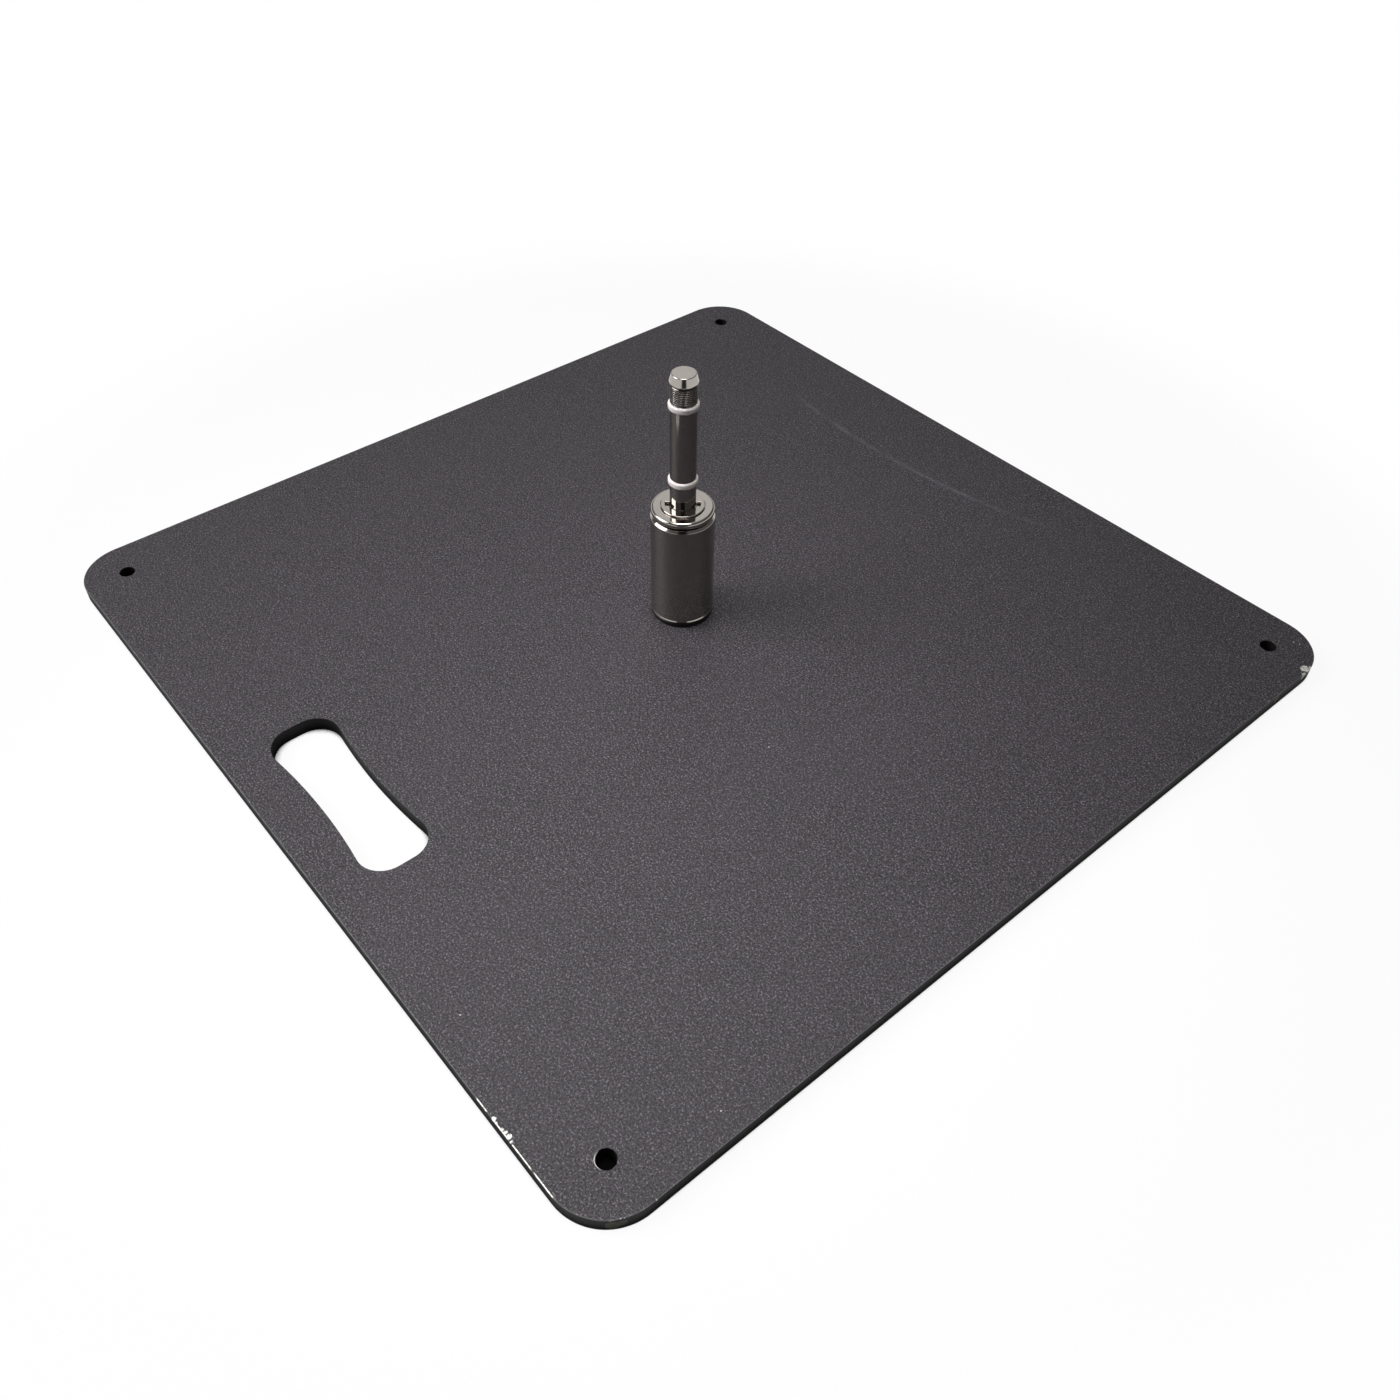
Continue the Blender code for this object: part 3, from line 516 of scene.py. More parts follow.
def powder_coat():
    """Charcoal fine-texture powder coat, with the places where it is worn to steel, and painted
    highlight and shade.
    """
    material, tree, shader, place = new_material("fine_texture_powder_coat")
    coat = grained_coat(tree, place)
    scratch = add_node(tree, "multiply", [scratch_mask(tree, place), 0.3])
    coat = add_node(tree, "mix", [scratch, coat, screen_colour("76747a")])
    coat = add_node(tree, "mix", [speck_mask(tree, place), coat, screen_colour("c9c6c4")])
    # Painted shade: the cut faces and the walls of the holes are made nearly black
    coat = add_node(tree, "mix", [cut_face_shade_mask(tree), coat, screen_colour("050505")])
    from_arris = distance_from_arris(tree, place)
    # Painted highlight: the upper edge is made a little paler all round
    arris = add_node(tree, "smooth step", [from_arris, 0.6, 0.25, 0.0, 0.3])
    coat = add_node(tree, "mix", [arris, coat, screen_colour("8b888c")])
    # Painted highlight: the pale line on the near hole's rounded rim
    coat = add_node(tree, "mix", [near_hole_rim_highlight_mask(tree, place), coat, screen_colour("e8e4de")])
    scuffed = broken_spots(tree, place, SCUFFS)
    coat = add_node(tree, "mix", [scuffed, coat, screen_colour("6c6c5e")])
    worn = worn_mask(tree, place, from_arris)
    tarnish = add_node(tree, "noise", [place, scale_for(TARNISH_MM), 3.0, 0.6])
    tarnish = add_node(tree, "smooth step", [tarnish, 0.3, 0.6])
    steel = add_node(tree, "mix", [tarnish, screen_colour("9a978f"), screen_colour("f4f2ec")])
    set_input(tree, shader.inputs["Base Color"], add_node(tree, "mix", [worn, coat, steel]))
    set_input(tree, shader.inputs["Metallic"], add_node(tree, "multiply", [worn, 0.4]))
    pebble = add_node(tree, "noise", [place, scale_for(PEBBLE_MM), 2.0, 0.55])
    dull = add_node(tree, "smooth step", [pebble, 0.3, 0.7, *COAT_ROUGHNESS])
    bare = add_node(tree, "multiply", [worn, -0.25])
    set_input(tree, shader.inputs["Roughness"], add_node(tree, "add", [dull, bare]))
    height = add_node(tree, "subtract", [pebble, add_node(tree, "multiply", [worn, 0.6])])
    inputs = {"Height": height, "Strength": 0.5, "Distance": PEBBLE_DEPTH}
    set_input(tree, shader.inputs["Normal"], add_node(tree, "ShaderNodeBump", inputs))
    shader.inputs["Specular IOR Level"].default_value = COAT_SPECULAR
    return material


powder_coat_material = powder_coat()
print("powder coat has", len(powder_coat_material.node_tree.nodes), "nodes")


# %% [markdown]
# ## Sheets and turned pieces
#
# Nearly everything here is either cut from a sheet or turned on a lathe. A sheet is a filled 2-D
# curve: each outline is a closed spline, holes are splines inside it, and the bevel rounds every edge.
# A turned piece is a profile spun round the axis.

# %% Make a sheet or a turned piece
def add_outline(curve, points):
    """Add one closed straight-sided spline to a 2-D curve."""
    spline = curve.splines.new("POLY")
    spline.points.add(len(points) - 1)
    for point, (x, y) in zip(spline.points, points):
        point.co = (x, y, 0, 1)
    spline.use_cyclic_u = True


def rounded_sheet(name, outlines, foot, top, edge_round, edge_steps):
    """A flat sheet with rounded edges, from its outer outline and the outlines of its holes."""
    curve = bpy.data.curves.new(name, "CURVE")
    curve.dimensions = "2D"
    curve.fill_mode = "BOTH"
    for points in outlines:
        add_outline(curve, points)
    curve.extrude = (top - foot) / 2 - edge_round
    curve.bevel_depth = edge_round
    curve.bevel_resolution = edge_steps
    curve.offset = -edge_round
    item = bpy.data.objects.new(name, curve)
    bpy.context.scene.collection.objects.link(item)
    mesh = plain_mesh(item)
    for point in mesh.vertices:
        point.co.z += (foot + top) / 2
    return tidy_mesh(mesh)


def turned(name, profile, segments):
    """Spin an (r, z) profile round Z. A profile that ends off the axis is closed into a ring."""
    bm = bmesh.new()
    points = [bm.verts.new((r, 0.0, z)) for r, z in profile]
    edges = [bm.edges.new(pair) for pair in zip(points, points[1:])]
    if profile[0][0] > 0:
        edges.append(bm.edges.new((points[-1], points[0])))
    turn = {"cent": (0, 0, 0), "axis": (0, 0, 1), "angle": math.tau}
    bmesh.ops.spin(bm, geom=points + edges, steps=segments, use_merge=True, **turn)
    bmesh.ops.remove_doubles(bm, verts=bm.verts, dist=1e-7)
    bmesh.ops.recalc_face_normals(bm, faces=bm.faces)
    mesh = bpy.data.meshes.new(name)
    bm.to_mesh(mesh)
    bm.free()
    return mesh


print("sheets and turned pieces can be made")


# %% [markdown]
# ## Plate
#
# The real plate is laser cut, so its outline, the slot and the holes are one flat drawing, and one
# rounded sheet makes it. Its edges are rounded as the coat rounds them. The countersink under the
# middle is then cut with a Boolean.

# %% Cut the plate
def cut_plate():
    """The plate with its slot, four corner holes and the countersunk hole for the screw."""
    reach = PLATE_HALF_SIDE - CORNER_HOLE_INSET
    outlines = [plate_outline(), slot_outline(SLOT_EDGE_DISTANCE - PLATE_HALF_SIDE)]
    for x, y in CORNER_SIGNS:
        outlines.append(circle((x * reach, y * reach), CORNER_HOLE_RADIUS, 64))
    blank = rounded_sheet("plate", outlines, 0, PLATE_THICKNESS, PLATE_EDGE_ROUND, 3)
    plate = bpy.data.objects.new("plate_blank", blank)
    bpy.context.scene.collection.objects.link(plate)
    cone_top = COUNTERSINK_DEPTH + COUNTERSINK_RADIUS - SCREW_HOLE_RADIUS
    countersink = [
        (0.0, -PLATE_THICKNESS),
        (COUNTERSINK_RADIUS, -PLATE_THICKNESS),
        (COUNTERSINK_RADIUS, COUNTERSINK_DEPTH),
        (SCREW_HOLE_RADIUS, cone_top),
        (SCREW_HOLE_RADIUS, PLATE_THICKNESS * 2),
        (0.0, PLATE_THICKNESS * 2),
    ]
    drill = bpy.data.objects.new("drill", turned("drill", countersink, 64))
    bpy.context.scene.collection.objects.link(drill)
    hole = plate.modifiers.new("screw hole", "BOOLEAN")
    hole.operation = "DIFFERENCE"
    hole.object = drill
    mesh = plain_mesh(plate)
    bpy.data.objects.remove(drill, do_unlink=True)
    return mesh


keep("steel_plate", cut_plate(), powder_coat_material, "base", "powder_coat", "base_plate")


# %% [markdown]
# ## Bright chrome
#
# The spigot's parts are turned steel with bright nickel and chrome plating. Such a finish has almost no
# colour of its own: the eye sees the dark plate, the pale room and the edges between them. Faint
# turning lines and finger marks soften it, so the roughness varies and a very fine ring pattern goes
# into the bump.

# %% Plated and bare metals
SMEAR_MM = 9.0
# Turning rings are long round the piece and short along it, so the pattern is stretched sideways.
# The real ones are about 0.1 mm apart and are drawn three to five times as wide, to show at all.
RING_STRETCH = (0.02, 0.02, 1.0)


def plated_metal(name, colour, roughness, smear, ring_mm, ring_depth):
    """A plated or polished metal with finger smears and fine turning rings."""
    material, tree, shader, place = new_material(name)
    shader.inputs["Metallic"].default_value = 1.0
    marks = add_node(tree, "noise", [place, scale_for(SMEAR_MM), 4.0, 0.6])
    tint = add_node(tree, "smooth step", [marks, 0.35, 0.7, 0.0, 0.25])
    dimmed = [channel * 0.8 for channel in screen_colour(colour)[:3]]
    worn = add_node(tree, "mix", [tint, screen_colour(colour), (*dimmed, 1.0)])
    set_input(tree, shader.inputs["Base Color"], worn)
    gloss = add_node(tree, "smooth step", [marks, 0.3, 0.75, roughness, roughness + smear])
    set_input(tree, shader.inputs["Roughness"], gloss)
    stretched = add_node(tree, "ShaderNodeMapping", {"Vector": place, "Scale": RING_STRETCH})
    rings = add_node(tree, "noise", [stretched, scale_for(ring_mm)])
    inputs = {"Height": rings, "Strength": 0.3, "Distance": ring_depth}
    set_input(tree, shader.inputs["Normal"], add_node(tree, "ShaderNodeBump", inputs))
    return material


# Polished nickel and chrome: a mirror with a slight warm cast and faint finger marks
chrome_material = plated_metal("bright_nickel_chrome", "aca6a0", 0.06, 0.08, 0.5, 0.00001)
# Rolled thread: the same chrome made darker, painted shade for its dark zone; the bright beads on its
# ridges come from its shape
shaded_thread_material = plated_metal("rolled_thread_painted_shade", "6a6662", 0.16, 0.14, 0.4, 0.00001)
# Near-black steel for the washer: painted shade for the dark gap under the barrel, with a dull sheen
washer_shade_material = plated_metal("washer_steel_painted_shade", "3b3937", 0.3, 0.15, 0.4, 0.00002)
# Zinc plated in a barrel: pale grey with a soft shine
zinc_material = plated_metal("zinc_plated_steel", "b4b3ae", 0.26, 0.16, 0.4, 0.00002)
# Ground and lapped bearing steel: a clean bright grey, smoother than zinc
bearing_material = plated_metal("ground_bearing_steel", "bdbdbb", 0.12, 0.08, 0.3, 0.00001)
print("metals:", chrome_material.name, zinc_material.name, bearing_material.name)

# %% [markdown]
# ## Turned pieces
#
# Each chromed part came off a lathe, so each is one profile spun round the axis. The small radii on
# the corners matter more than their size says: they are what catches the light on a chromed part.

# %% Profiles of the turned pieces
FINE_SEGMENTS = 128
NEARLY_STRAIGHT = math.radians(89)
DEGREES_A_STEP = 15


def rounded_profile(corners):
    """A profile of (r, z, radius) corners, each rounded by an arc of that radius."""
    points = []
    for number, (r, z, radius) in enumerate(corners):
        if radius == 0 or number in (0, len(corners) - 1):
            points.append((r, z))
            continue
        before = corners[number - 1]
        after = corners[number + 1]
        to_before = (before[0] - r, before[1] - z)
        to_after = (after[0] - r, after[1] - z)
        length_before = math.hypot(*to_before)
        length_after = math.hypot(*to_after)
        a = (to_before[0] / length_before, to_before[1] / length_before)
        b = (to_after[0] / length_after, to_after[1] / length_after)
        half = math.acos(max(-1.0, min(1.0, a[0] * b[0] + a[1] * b[1]))) / 2
        if half > NEARLY_STRAIGHT:
            points.append((r, z))
            continue
        cut = min(radius / math.tan(half), 0.45 * length_before, 0.45 * length_after)
        radius = cut * math.tan(half)
        away = math.hypot(a[0] + b[0], a[1] + b[1])
        reach = radius / math.sin(half)
        centre = (r + (a[0] + b[0]) / away * reach, z + (a[1] + b[1]) / away * reach)
        start = math.atan2(z + a[1] * cut - centre[1], r + a[0] * cut - centre[0])
        end = math.atan2(z + b[1] * cut - centre[1], r + b[0] * cut - centre[0])
        turn = (end - start + math.pi) % math.tau - math.pi
        steps = max(2, round(abs(math.degrees(turn)) / DEGREES_A_STEP))
        for i in range(steps + 1):
            angle = start + turn * i / steps
            along = (radius * math.cos(angle), radius * math.sin(angle))
            points.append((centre[0] + along[0], centre[1] + along[1]))
    return points


housing_low, housing_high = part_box("bearing_housing")
washer_low, washer_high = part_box("seat_washer")
spindle_low, spindle_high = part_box("spindle")
disc_low, disc_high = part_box("turning_disc")
cap_low, cap_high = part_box("end_cap")
print("housing top", housing_high.z, "disc", disc_low.z, disc_high.z, "cap top", cap_high.z)

# %% [markdown]
# ## Barrel
#
# The barrel is one turned housing with both bearings inside it. Just above its foot it shows a thin
# bright line, so a fine V is turned there: its lower side faces up and catches the pale room.

# %% Barrel
HOUSING_BORE = 0.0143
HOUSING_TOP_CHAMFER = 0.0012
HOUSING_FOOT_CHAMFER = 0.0007
FOOT_LINE_HEIGHT = 0.0009
FOOT_LINE_WIDTH = 0.0008
FOOT_LINE_DEPTH = 0.00038
TAPPED_RADIUS = 0.0053
TAPPED_HOLE_TOP = 0.0269
TAIL_BORE_RADIUS = 0.0110
TAIL_BORE_FLOOR = 0.0304
BEARING_LEDGE = 0.0359
CLIP_GROOVE = (0.0150, 0.0668, 0.0686)


def turn_housing():
    """The barrel with its chamfers, its bearing bore with the clip's groove and its tapped foot."""
    radius = housing_high.x
    foot = housing_low.z
    top = housing_high.z
    groove, groove_foot, groove_top = CLIP_GROOVE
    line = foot + FOOT_LINE_HEIGHT
    corners = [
        (0.0, TAPPED_HOLE_TOP, 0),
        (TAPPED_RADIUS, TAPPED_HOLE_TOP, 0),
        (TAPPED_RADIUS, foot, 0),
        (radius - HOUSING_FOOT_CHAMFER, foot, 0.0002),
        (radius, foot + HOUSING_FOOT_CHAMFER, 0.0001),
        (radius, line, 0.0001),
        (radius - FOOT_LINE_DEPTH, line + FOOT_LINE_WIDTH, 0),
        (radius, line + FOOT_LINE_WIDTH, 0.0001),
        (radius, top - HOUSING_TOP_CHAMFER, 0.0006),
        (radius - HOUSING_TOP_CHAMFER, top, 0.0004),
        (HOUSING_BORE, top, 0.0003),
        (HOUSING_BORE, groove_top, 0),
        (groove, groove_top, 0),
        (groove, groove_foot, 0),
        (HOUSING_BORE, groove_foot, 0),
        (HOUSING_BORE, BEARING_LEDGE, 0),
        (TAIL_BORE_RADIUS, BEARING_LEDGE, 0),
        (TAIL_BORE_RADIUS, TAIL_BORE_FLOOR, 0),
        (0.0, TAIL_BORE_FLOOR, 0),
    ]
    return turned("barrel", rounded_profile(corners), FINE_SEGMENTS)


keep("barrel", turn_housing(), chrome_material, "base", "chrome", "bearing_housing")


# %% [markdown]
# ## Washer, disc and cap
#
# The washer is made near black, painted shade for the dark gap under the barrel, and is set in a
# little. The disc is the polished seat on which an upright turns. The cap closes the pin and tapers,
# so that an upright finds its way over it.

# %% Washer, disc and cap
DISC_BORE = 0.00715
DISC_RIM_RADIUS = 0.0016
DISC_RECESS_RADIUS = 0.0118
DISC_RECESS_DEPTH = 0.0005
CAP_RIM_HEIGHT = 0.0012
CAP_FLAT_RADIUS = 0.00614
CAP_STUD_RADIUS = 0.0040
CAP_FOOT = 0.1503
CAP_FOOT_CHAMFER = 0.0005
WASHER_ROUND = 0.0004
# The washer's profile starts this far from its bore, on its lower face
WASHER_START = 0.00025


def turn_washer():
    """The washer that shows as a dark step under the barrel."""
    low, high = washer_low.z, washer_high.z
    radius = washer_high.x
    corners = [
        (TAPPED_RADIUS + WASHER_START, low, 0),
        (radius, low, WASHER_ROUND),
        (radius, high, WASHER_ROUND),
        (TAPPED_RADIUS, high, WASHER_ROUND),
        (TAPPED_RADIUS, low, 0),
    ]
    return turned("foot_washer", rounded_profile(corners), FINE_SEGMENTS)


def turn_disc():
    """The polished disc: rounded rim, flat seat, and the shallow recess for its clip."""
    low, high = disc_low.z, disc_high.z
    radius = disc_high.x
    floor = high - DISC_RECESS_DEPTH
    corners = [
        (DISC_BORE, low, 0),
        (radius, low, DISC_RIM_RADIUS),
        (radius, high, DISC_RIM_RADIUS),
        (DISC_RECESS_RADIUS, high, 0.00012),
        (DISC_RECESS_RADIUS, floor, 0),
        (DISC_BORE, floor, 0),
    ]
    return turned("polished_disc", rounded_profile(corners), FINE_SEGMENTS)


def turn_cap():
    """The cap, tapering from its rim to the flat top, and the stud that screws into the pin."""
    radius = cap_high.x
    corners = [
        (0.0, cap_low.z, 0),
        (CAP_STUD_RADIUS, cap_low.z, 0.0004),
        (CAP_STUD_RADIUS, CAP_FOOT, 0),
        (radius - CAP_FOOT_CHAMFER, CAP_FOOT, 0.0002),
        (radius, CAP_FOOT + CAP_FOOT_CHAMFER, 0.0003),
        (radius, CAP_FOOT + CAP_RIM_HEIGHT, 0.0012),
        (CAP_FLAT_RADIUS, cap_high.z, 0.0005),
        (0.0, cap_high.z, 0),
    ]
    return turned("pin_cap", rounded_profile(corners), FINE_SEGMENTS)


keep("foot_washer", turn_washer(), washer_shade_material, "base", "chrome", "seat_washer")
keep("polished_disc", turn_disc(), chrome_material, "spindle", "chrome", "turning_disc")
keep("pin_cap", turn_cap(), chrome_material, "spindle", "chrome", "end_cap")

# %% [markdown]
# ## Pin
#
# The pin is the shaft that an upright slides over. Its grooves for the white bands and the clip are
# turned into it, and its last centimetre is threaded. The plain part is one profile, with a thinner
# core where the thread goes round it.

# %% Pin
PIN_RADIUS = 0.00685
JOURNAL_RADIUS = 0.0057
COLLAR_RADIUS = 0.0082
COLLAR_FOOT = 0.0671
COLLAR_TOP = 0.0743
CLIP_NECK = (0.0060, 0.0779, 0.0797)
SHAFT_CLIP_NECK = (0.0053, 0.0349, 0.0362)
BAND_GROOVE_RADIUS = 0.0045
BAND_GROOVE_HALF = 0.0018
THREAD_FOOT = 0.1405
THREAD_CORE_RADIUS = 0.0058
CORE_STEP = 0.0002
STUD_HOLE_RADIUS = 0.0043
STUD_HOLE_FLOOR = 0.1422


def band_height(node):
    """Height of the middle of a white band."""
    low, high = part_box(node)
    return (low.z + high.z) / 2


def neck(radius, outer, low, high):
    """Corners of a groove turned into a shaft."""
    return [(outer, low, 0.0001), (radius, low, 0), (radius, high, 0), (outer, high, 0.0001)]


def turn_pin():
    """The spindle from its tail to the core of its thread."""
    groove_low = band_height("lower_white_band")
    groove_high = band_height("upper_white_band")
    half = BAND_GROOVE_HALF
    corners = [
        (0.0, spindle_low.z, 0),
        (JOURNAL_RADIUS, spindle_low.z, 0.0005),
        *neck(SHAFT_CLIP_NECK[0], JOURNAL_RADIUS, *SHAFT_CLIP_NECK[1:]),
        (JOURNAL_RADIUS, COLLAR_FOOT, 0),
        (COLLAR_RADIUS, COLLAR_FOOT, 0.0002),
        (COLLAR_RADIUS, COLLAR_TOP, 0.0002),
        (PIN_RADIUS, COLLAR_TOP, 0),
        *neck(CLIP_NECK[0], PIN_RADIUS, *CLIP_NECK[1:]),
        *neck(BAND_GROOVE_RADIUS, PIN_RADIUS, groove_low - half, groove_low + half),
        *neck(BAND_GROOVE_RADIUS, PIN_RADIUS, groove_high - half, groove_high + half),
        (PIN_RADIUS, THREAD_FOOT, 0.0001),
        (THREAD_CORE_RADIUS, THREAD_FOOT + CORE_STEP, 0),
        (THREAD_CORE_RADIUS, spindle_high.z, 0.0002),
        (STUD_HOLE_RADIUS, spindle_high.z, 0),
        (STUD_HOLE_RADIUS, STUD_HOLE_FLOOR, 0),
        (0.0, STUD_HOLE_FLOOR, 0),
    ]
    return turned("spigot_pin", rounded_profile(corners), FINE_SEGMENTS)


keep("spigot_pin", turn_pin(), chrome_material, "spindle", "chrome", "spindle")


# %% [markdown]
# ## Rolled threads
#
# A thread follows a rule: its surface rises by one pitch for each turn. Geometry Nodes can say that
# directly. A tall cylinder with many rows is the blank, and Set Position moves each of its points in
# or out by the point's height and angle, so ridge and groove wind up it. The same tree makes the pin's
# thread and the hidden screw's, each with its own sizes in the named inputs.

# %% Thread tree
def thread_tree():
    """Geometry Nodes that make a thread round Z from its radius, pitch, depth, foot and length."""
    tree = bpy.data.node_groups.new("rolled_thread", "GeometryNodeTree")
    tree.interface.new_socket("Geometry", in_out="OUTPUT", socket_type="NodeSocketGeometry")
    for name in ("Radius", "Pitch", "Depth", "Foot", "Length"):
        tree.interface.new_socket(name, in_out="INPUT", socket_type="NodeSocketFloat")
    for name in ("Segments", "Rows"):
        tree.interface.new_socket(name, in_out="INPUT", socket_type="NodeSocketInt")
    tree.interface.new_socket("Material", in_out="INPUT", socket_type="NodeSocketMaterial")
    given = add_node(tree, "NodeGroupInput").outputs
    inputs = {
        "Vertices": given["Segments"],
        "Side Segments": given["Rows"],
        "Radius": 1.0,
        "Depth": given["Length"],
    }
    blank = add_node(tree, "GeometryNodeMeshCylinder", inputs)
    place = add_node(tree, "GeometryNodeInputPosition")
    x, y, z = add_node(tree, "ShaderNodeSeparateXYZ", [place]).outputs
    angle = add_node(tree, "arctan2", [y, x])
    turns = add_node(tree, "divide", [angle, math.tau])
    climbed = add_node(tree, "divide", [z, given["Pitch"]])
    phase = add_node(tree, "fract", [add_node(tree, "subtract", [climbed, turns])])
    swing = add_node(tree, "multiply add", [phase, 2.0, -1.0])
    ridge = add_node(tree, "smooth step", [add_node(tree, "absolute", [swing]), 0.95, 0.5])
    half = add_node(tree, "multiply", [given["Length"], 0.5])
    from_top = add_node(tree, "subtract", [half, z])
    from_foot = add_node(tree, "add", [half, z])
    cut = add_node(tree, "multiply", [given["Depth"], add_node(tree, "subtract", [1.0, ridge])])
    run_out = add_node(tree, "smooth step", [from_foot, 0.0, given["Pitch"]])
    cut = add_node(tree, "multiply", [cut, run_out])
    chamfer = add_node(tree, "subtract", [given["Depth"], from_top])
    cut = add_node(tree, "maximum", [cut, chamfer])
    radius = add_node(tree, "subtract", [given["Radius"], cut])
    new_x = add_node(tree, "multiply", [x, radius])
    new_y = add_node(tree, "multiply", [y, radius])
    new_z = add_node(tree, "add", [from_foot, given["Foot"]])
    target = add_node(tree, "ShaderNodeCombineXYZ", [new_x, new_y, new_z])
    inputs = {"Geometry": blank, "Position": target}
    moved = add_node(tree, "GeometryNodeSetPosition", inputs)
    whole = add_node(tree, "GeometryNodeRealizeInstances", [moved])
    inputs = {"Geometry": whole, "Material": given["Material"]}
    finished = add_node(tree, "GeometryNodeSetMaterial", inputs)
    add_node(tree, "NodeGroupOutput", [finished])
    return tree


def grown_mesh(name, tree, sizes):
    """Run a Geometry Nodes tree with named sizes, and return what it grew as a plain mesh."""
    seed = bpy.data.objects.new(name, bpy.data.meshes.new(name))
    bpy.context.scene.collection.objects.link(seed)
    grow = seed.modifiers.new(tree.name, "NODES")
    grow.node_group = tree
    for socket in tree.interface.items_tree:
        if socket.in_out == "INPUT":
            grow[socket.identifier] = sizes[socket.name]
    return tidy_mesh(plain_mesh(seed))


rolled_thread = thread_tree()
print("thread tree has", len(rolled_thread.nodes), "nodes")

# %% [markdown]
# ## The two threads
#
# The pin's end has a fine thread of 1 mm pitch, which shows as a dark zone with one column of bright
# beads; its material is made darker as painted shade. The screw under the plate has a coarse thread
# and a countersunk head with a hexagon socket, so its head is turned and the socket cut with a Boolean.

# %% Threads and fixing screw
THREAD_STOPS_SHORT = 0.0001
PIN_THREAD = {
    "Radius": PIN_RADIUS,
    "Pitch": 0.001,
    "Depth": 0.0003,
    "Foot": THREAD_FOOT,
    "Length": spindle_high.z - THREAD_FOOT - THREAD_STOPS_SHORT,
    "Segments": 96,
    "Rows": 150,
    "Material": shaded_thread_material,
}
SCREW_HEAD_FOOT = 0.0004
SCREW_HEAD_RADIUS = 0.0098
SCREW_RADIUS = 0.005
SCREW_SHANK_RADIUS = 0.0042
SCREW_THREAD_FOOT = 0.0060
SCREW_CORE_OVERLAP = 0.002
SCREW_TIP = 0.0254
SOCKET_ACROSS_FLATS = 0.006
SOCKET_FOOT = -0.002
SOCKET_TOP = 0.0040
SCREW_THREAD = {
    "Radius": SCREW_RADIUS,
    "Pitch": 0.0015,
    "Depth": 0.0007,
    "Foot": SCREW_THREAD_FOOT,
    "Length": SCREW_TIP - SCREW_THREAD_FOOT,
    "Segments": 64,
    "Rows": 150,
    "Material": zinc_material,
}


def screw_head():
    """The screw's countersunk head with its hexagon socket, and the start of its shank."""
    cone_top = SCREW_HEAD_FOOT + SCREW_HEAD_RADIUS - SCREW_SHANK_RADIUS
    corners = [
        (0.0, SCREW_HEAD_FOOT, 0),
        (SCREW_HEAD_RADIUS, SCREW_HEAD_FOOT, 0.0003),
        (SCREW_SHANK_RADIUS, cone_top, 0.0005),
        (SCREW_SHANK_RADIUS, SCREW_THREAD_FOOT + SCREW_CORE_OVERLAP, 0),
        (0.0, SCREW_THREAD_FOOT + SCREW_CORE_OVERLAP, 0),
    ]
    head = bpy.data.objects.new("head", turned("head", rounded_profile(corners), 96))
    corner_radius = SOCKET_ACROSS_FLATS / math.sqrt(3)
    key = [
        (0.0, SOCKET_FOOT),
        (corner_radius, SOCKET_FOOT),
        (corner_radius, SOCKET_TOP),
        (0.0, SOCKET_TOP),
    ]
    socket = bpy.data.objects.new("socket", turned("socket", key, 6))
    for item in (head, socket):
        bpy.context.scene.collection.objects.link(item)
    cut = head.modifiers.new("socket", "BOOLEAN")
    cut.operation = "DIFFERENCE"
    cut.object = socket
    mesh = plain_mesh(head)
    bpy.data.objects.remove(socket, do_unlink=True)
    return mesh


pin_thread = grown_mesh("pin_thread", rolled_thread, PIN_THREAD)
keep("pin_thread", pin_thread, shaded_thread_material, "spindle", "chrome")
screw_thread = grown_mesh("screw_thread", rolled_thread, SCREW_THREAD)
keep("screw_thread", screw_thread, zinc_material, "base", "zinc_steel")
keep("socket_screw", screw_head(), zinc_material, "base", "zinc_steel", "fixing_screw")

# %% [markdown]
# ## White bands
#
# The two bands are moulded silicone rings in grooves of the pin. They take up the play of the upright.
# Each is one small section with round corners spun round the axis. Silicone is slightly translucent
# and has a soft gloss, and dirt settles on it in faint patches.

# %% Silicone and bands
BAND_THICKNESS = 0.0030
BAND_HALF_HEIGHT = 0.0017
BAND_CORNER_RADIUS = 0.0010


def silicone():
    """White moulded silicone, slightly translucent, with faint pinkish dirt."""
    material, tree, shader, place = new_material("white_moulded_silicone")
    dirt = add_node(tree, "noise", [place, scale_for(3.0), 3.0, 0.6])
    dirt = add_node(tree, "smooth step", [dirt, 0.45, 0.75, 0.0, 0.35])
    colour = add_node(tree, "mix", [dirt, screen_colour("f4ebe9"), screen_colour("dac8c6")])
    set_input(tree, shader.inputs["Base Color"], colour)
    gloss = add_node(tree, "noise", [place, scale_for(1.2)])
    gloss = add_node(tree, "smooth step", [gloss, 0.3, 0.7, 0.34, 0.46])
    set_input(tree, shader.inputs["Roughness"], gloss)
    shader.inputs["Subsurface Weight"].default_value = 0.15
    shader.inputs["Subsurface Scale"].default_value = 0.001
    shader.inputs["IOR"].default_value = 1.41
    return material


def turn_band(node):
    """One band: a small section with round corners, spun round the axis at its node's height."""
    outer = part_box(node)[1].x
    inner = outer - BAND_THICKNESS
    low = band_height(node) - BAND_HALF_HEIGHT
    high = band_height(node) + BAND_HALF_HEIGHT
    section = [(inner, low), (outer, low), (outer, high), (inner, high)]
    corners = [(r, z, BAND_CORNER_RADIUS) for r, z in section]
    return turned(node, rounded_profile(corners), FINE_SEGMENTS)


silicone_material = silicone()
for node in ("lower_white_band", "upper_white_band"):
    keep(node + "_ring", turn_band(node), silicone_material, "spindle", "white_silicone", node)

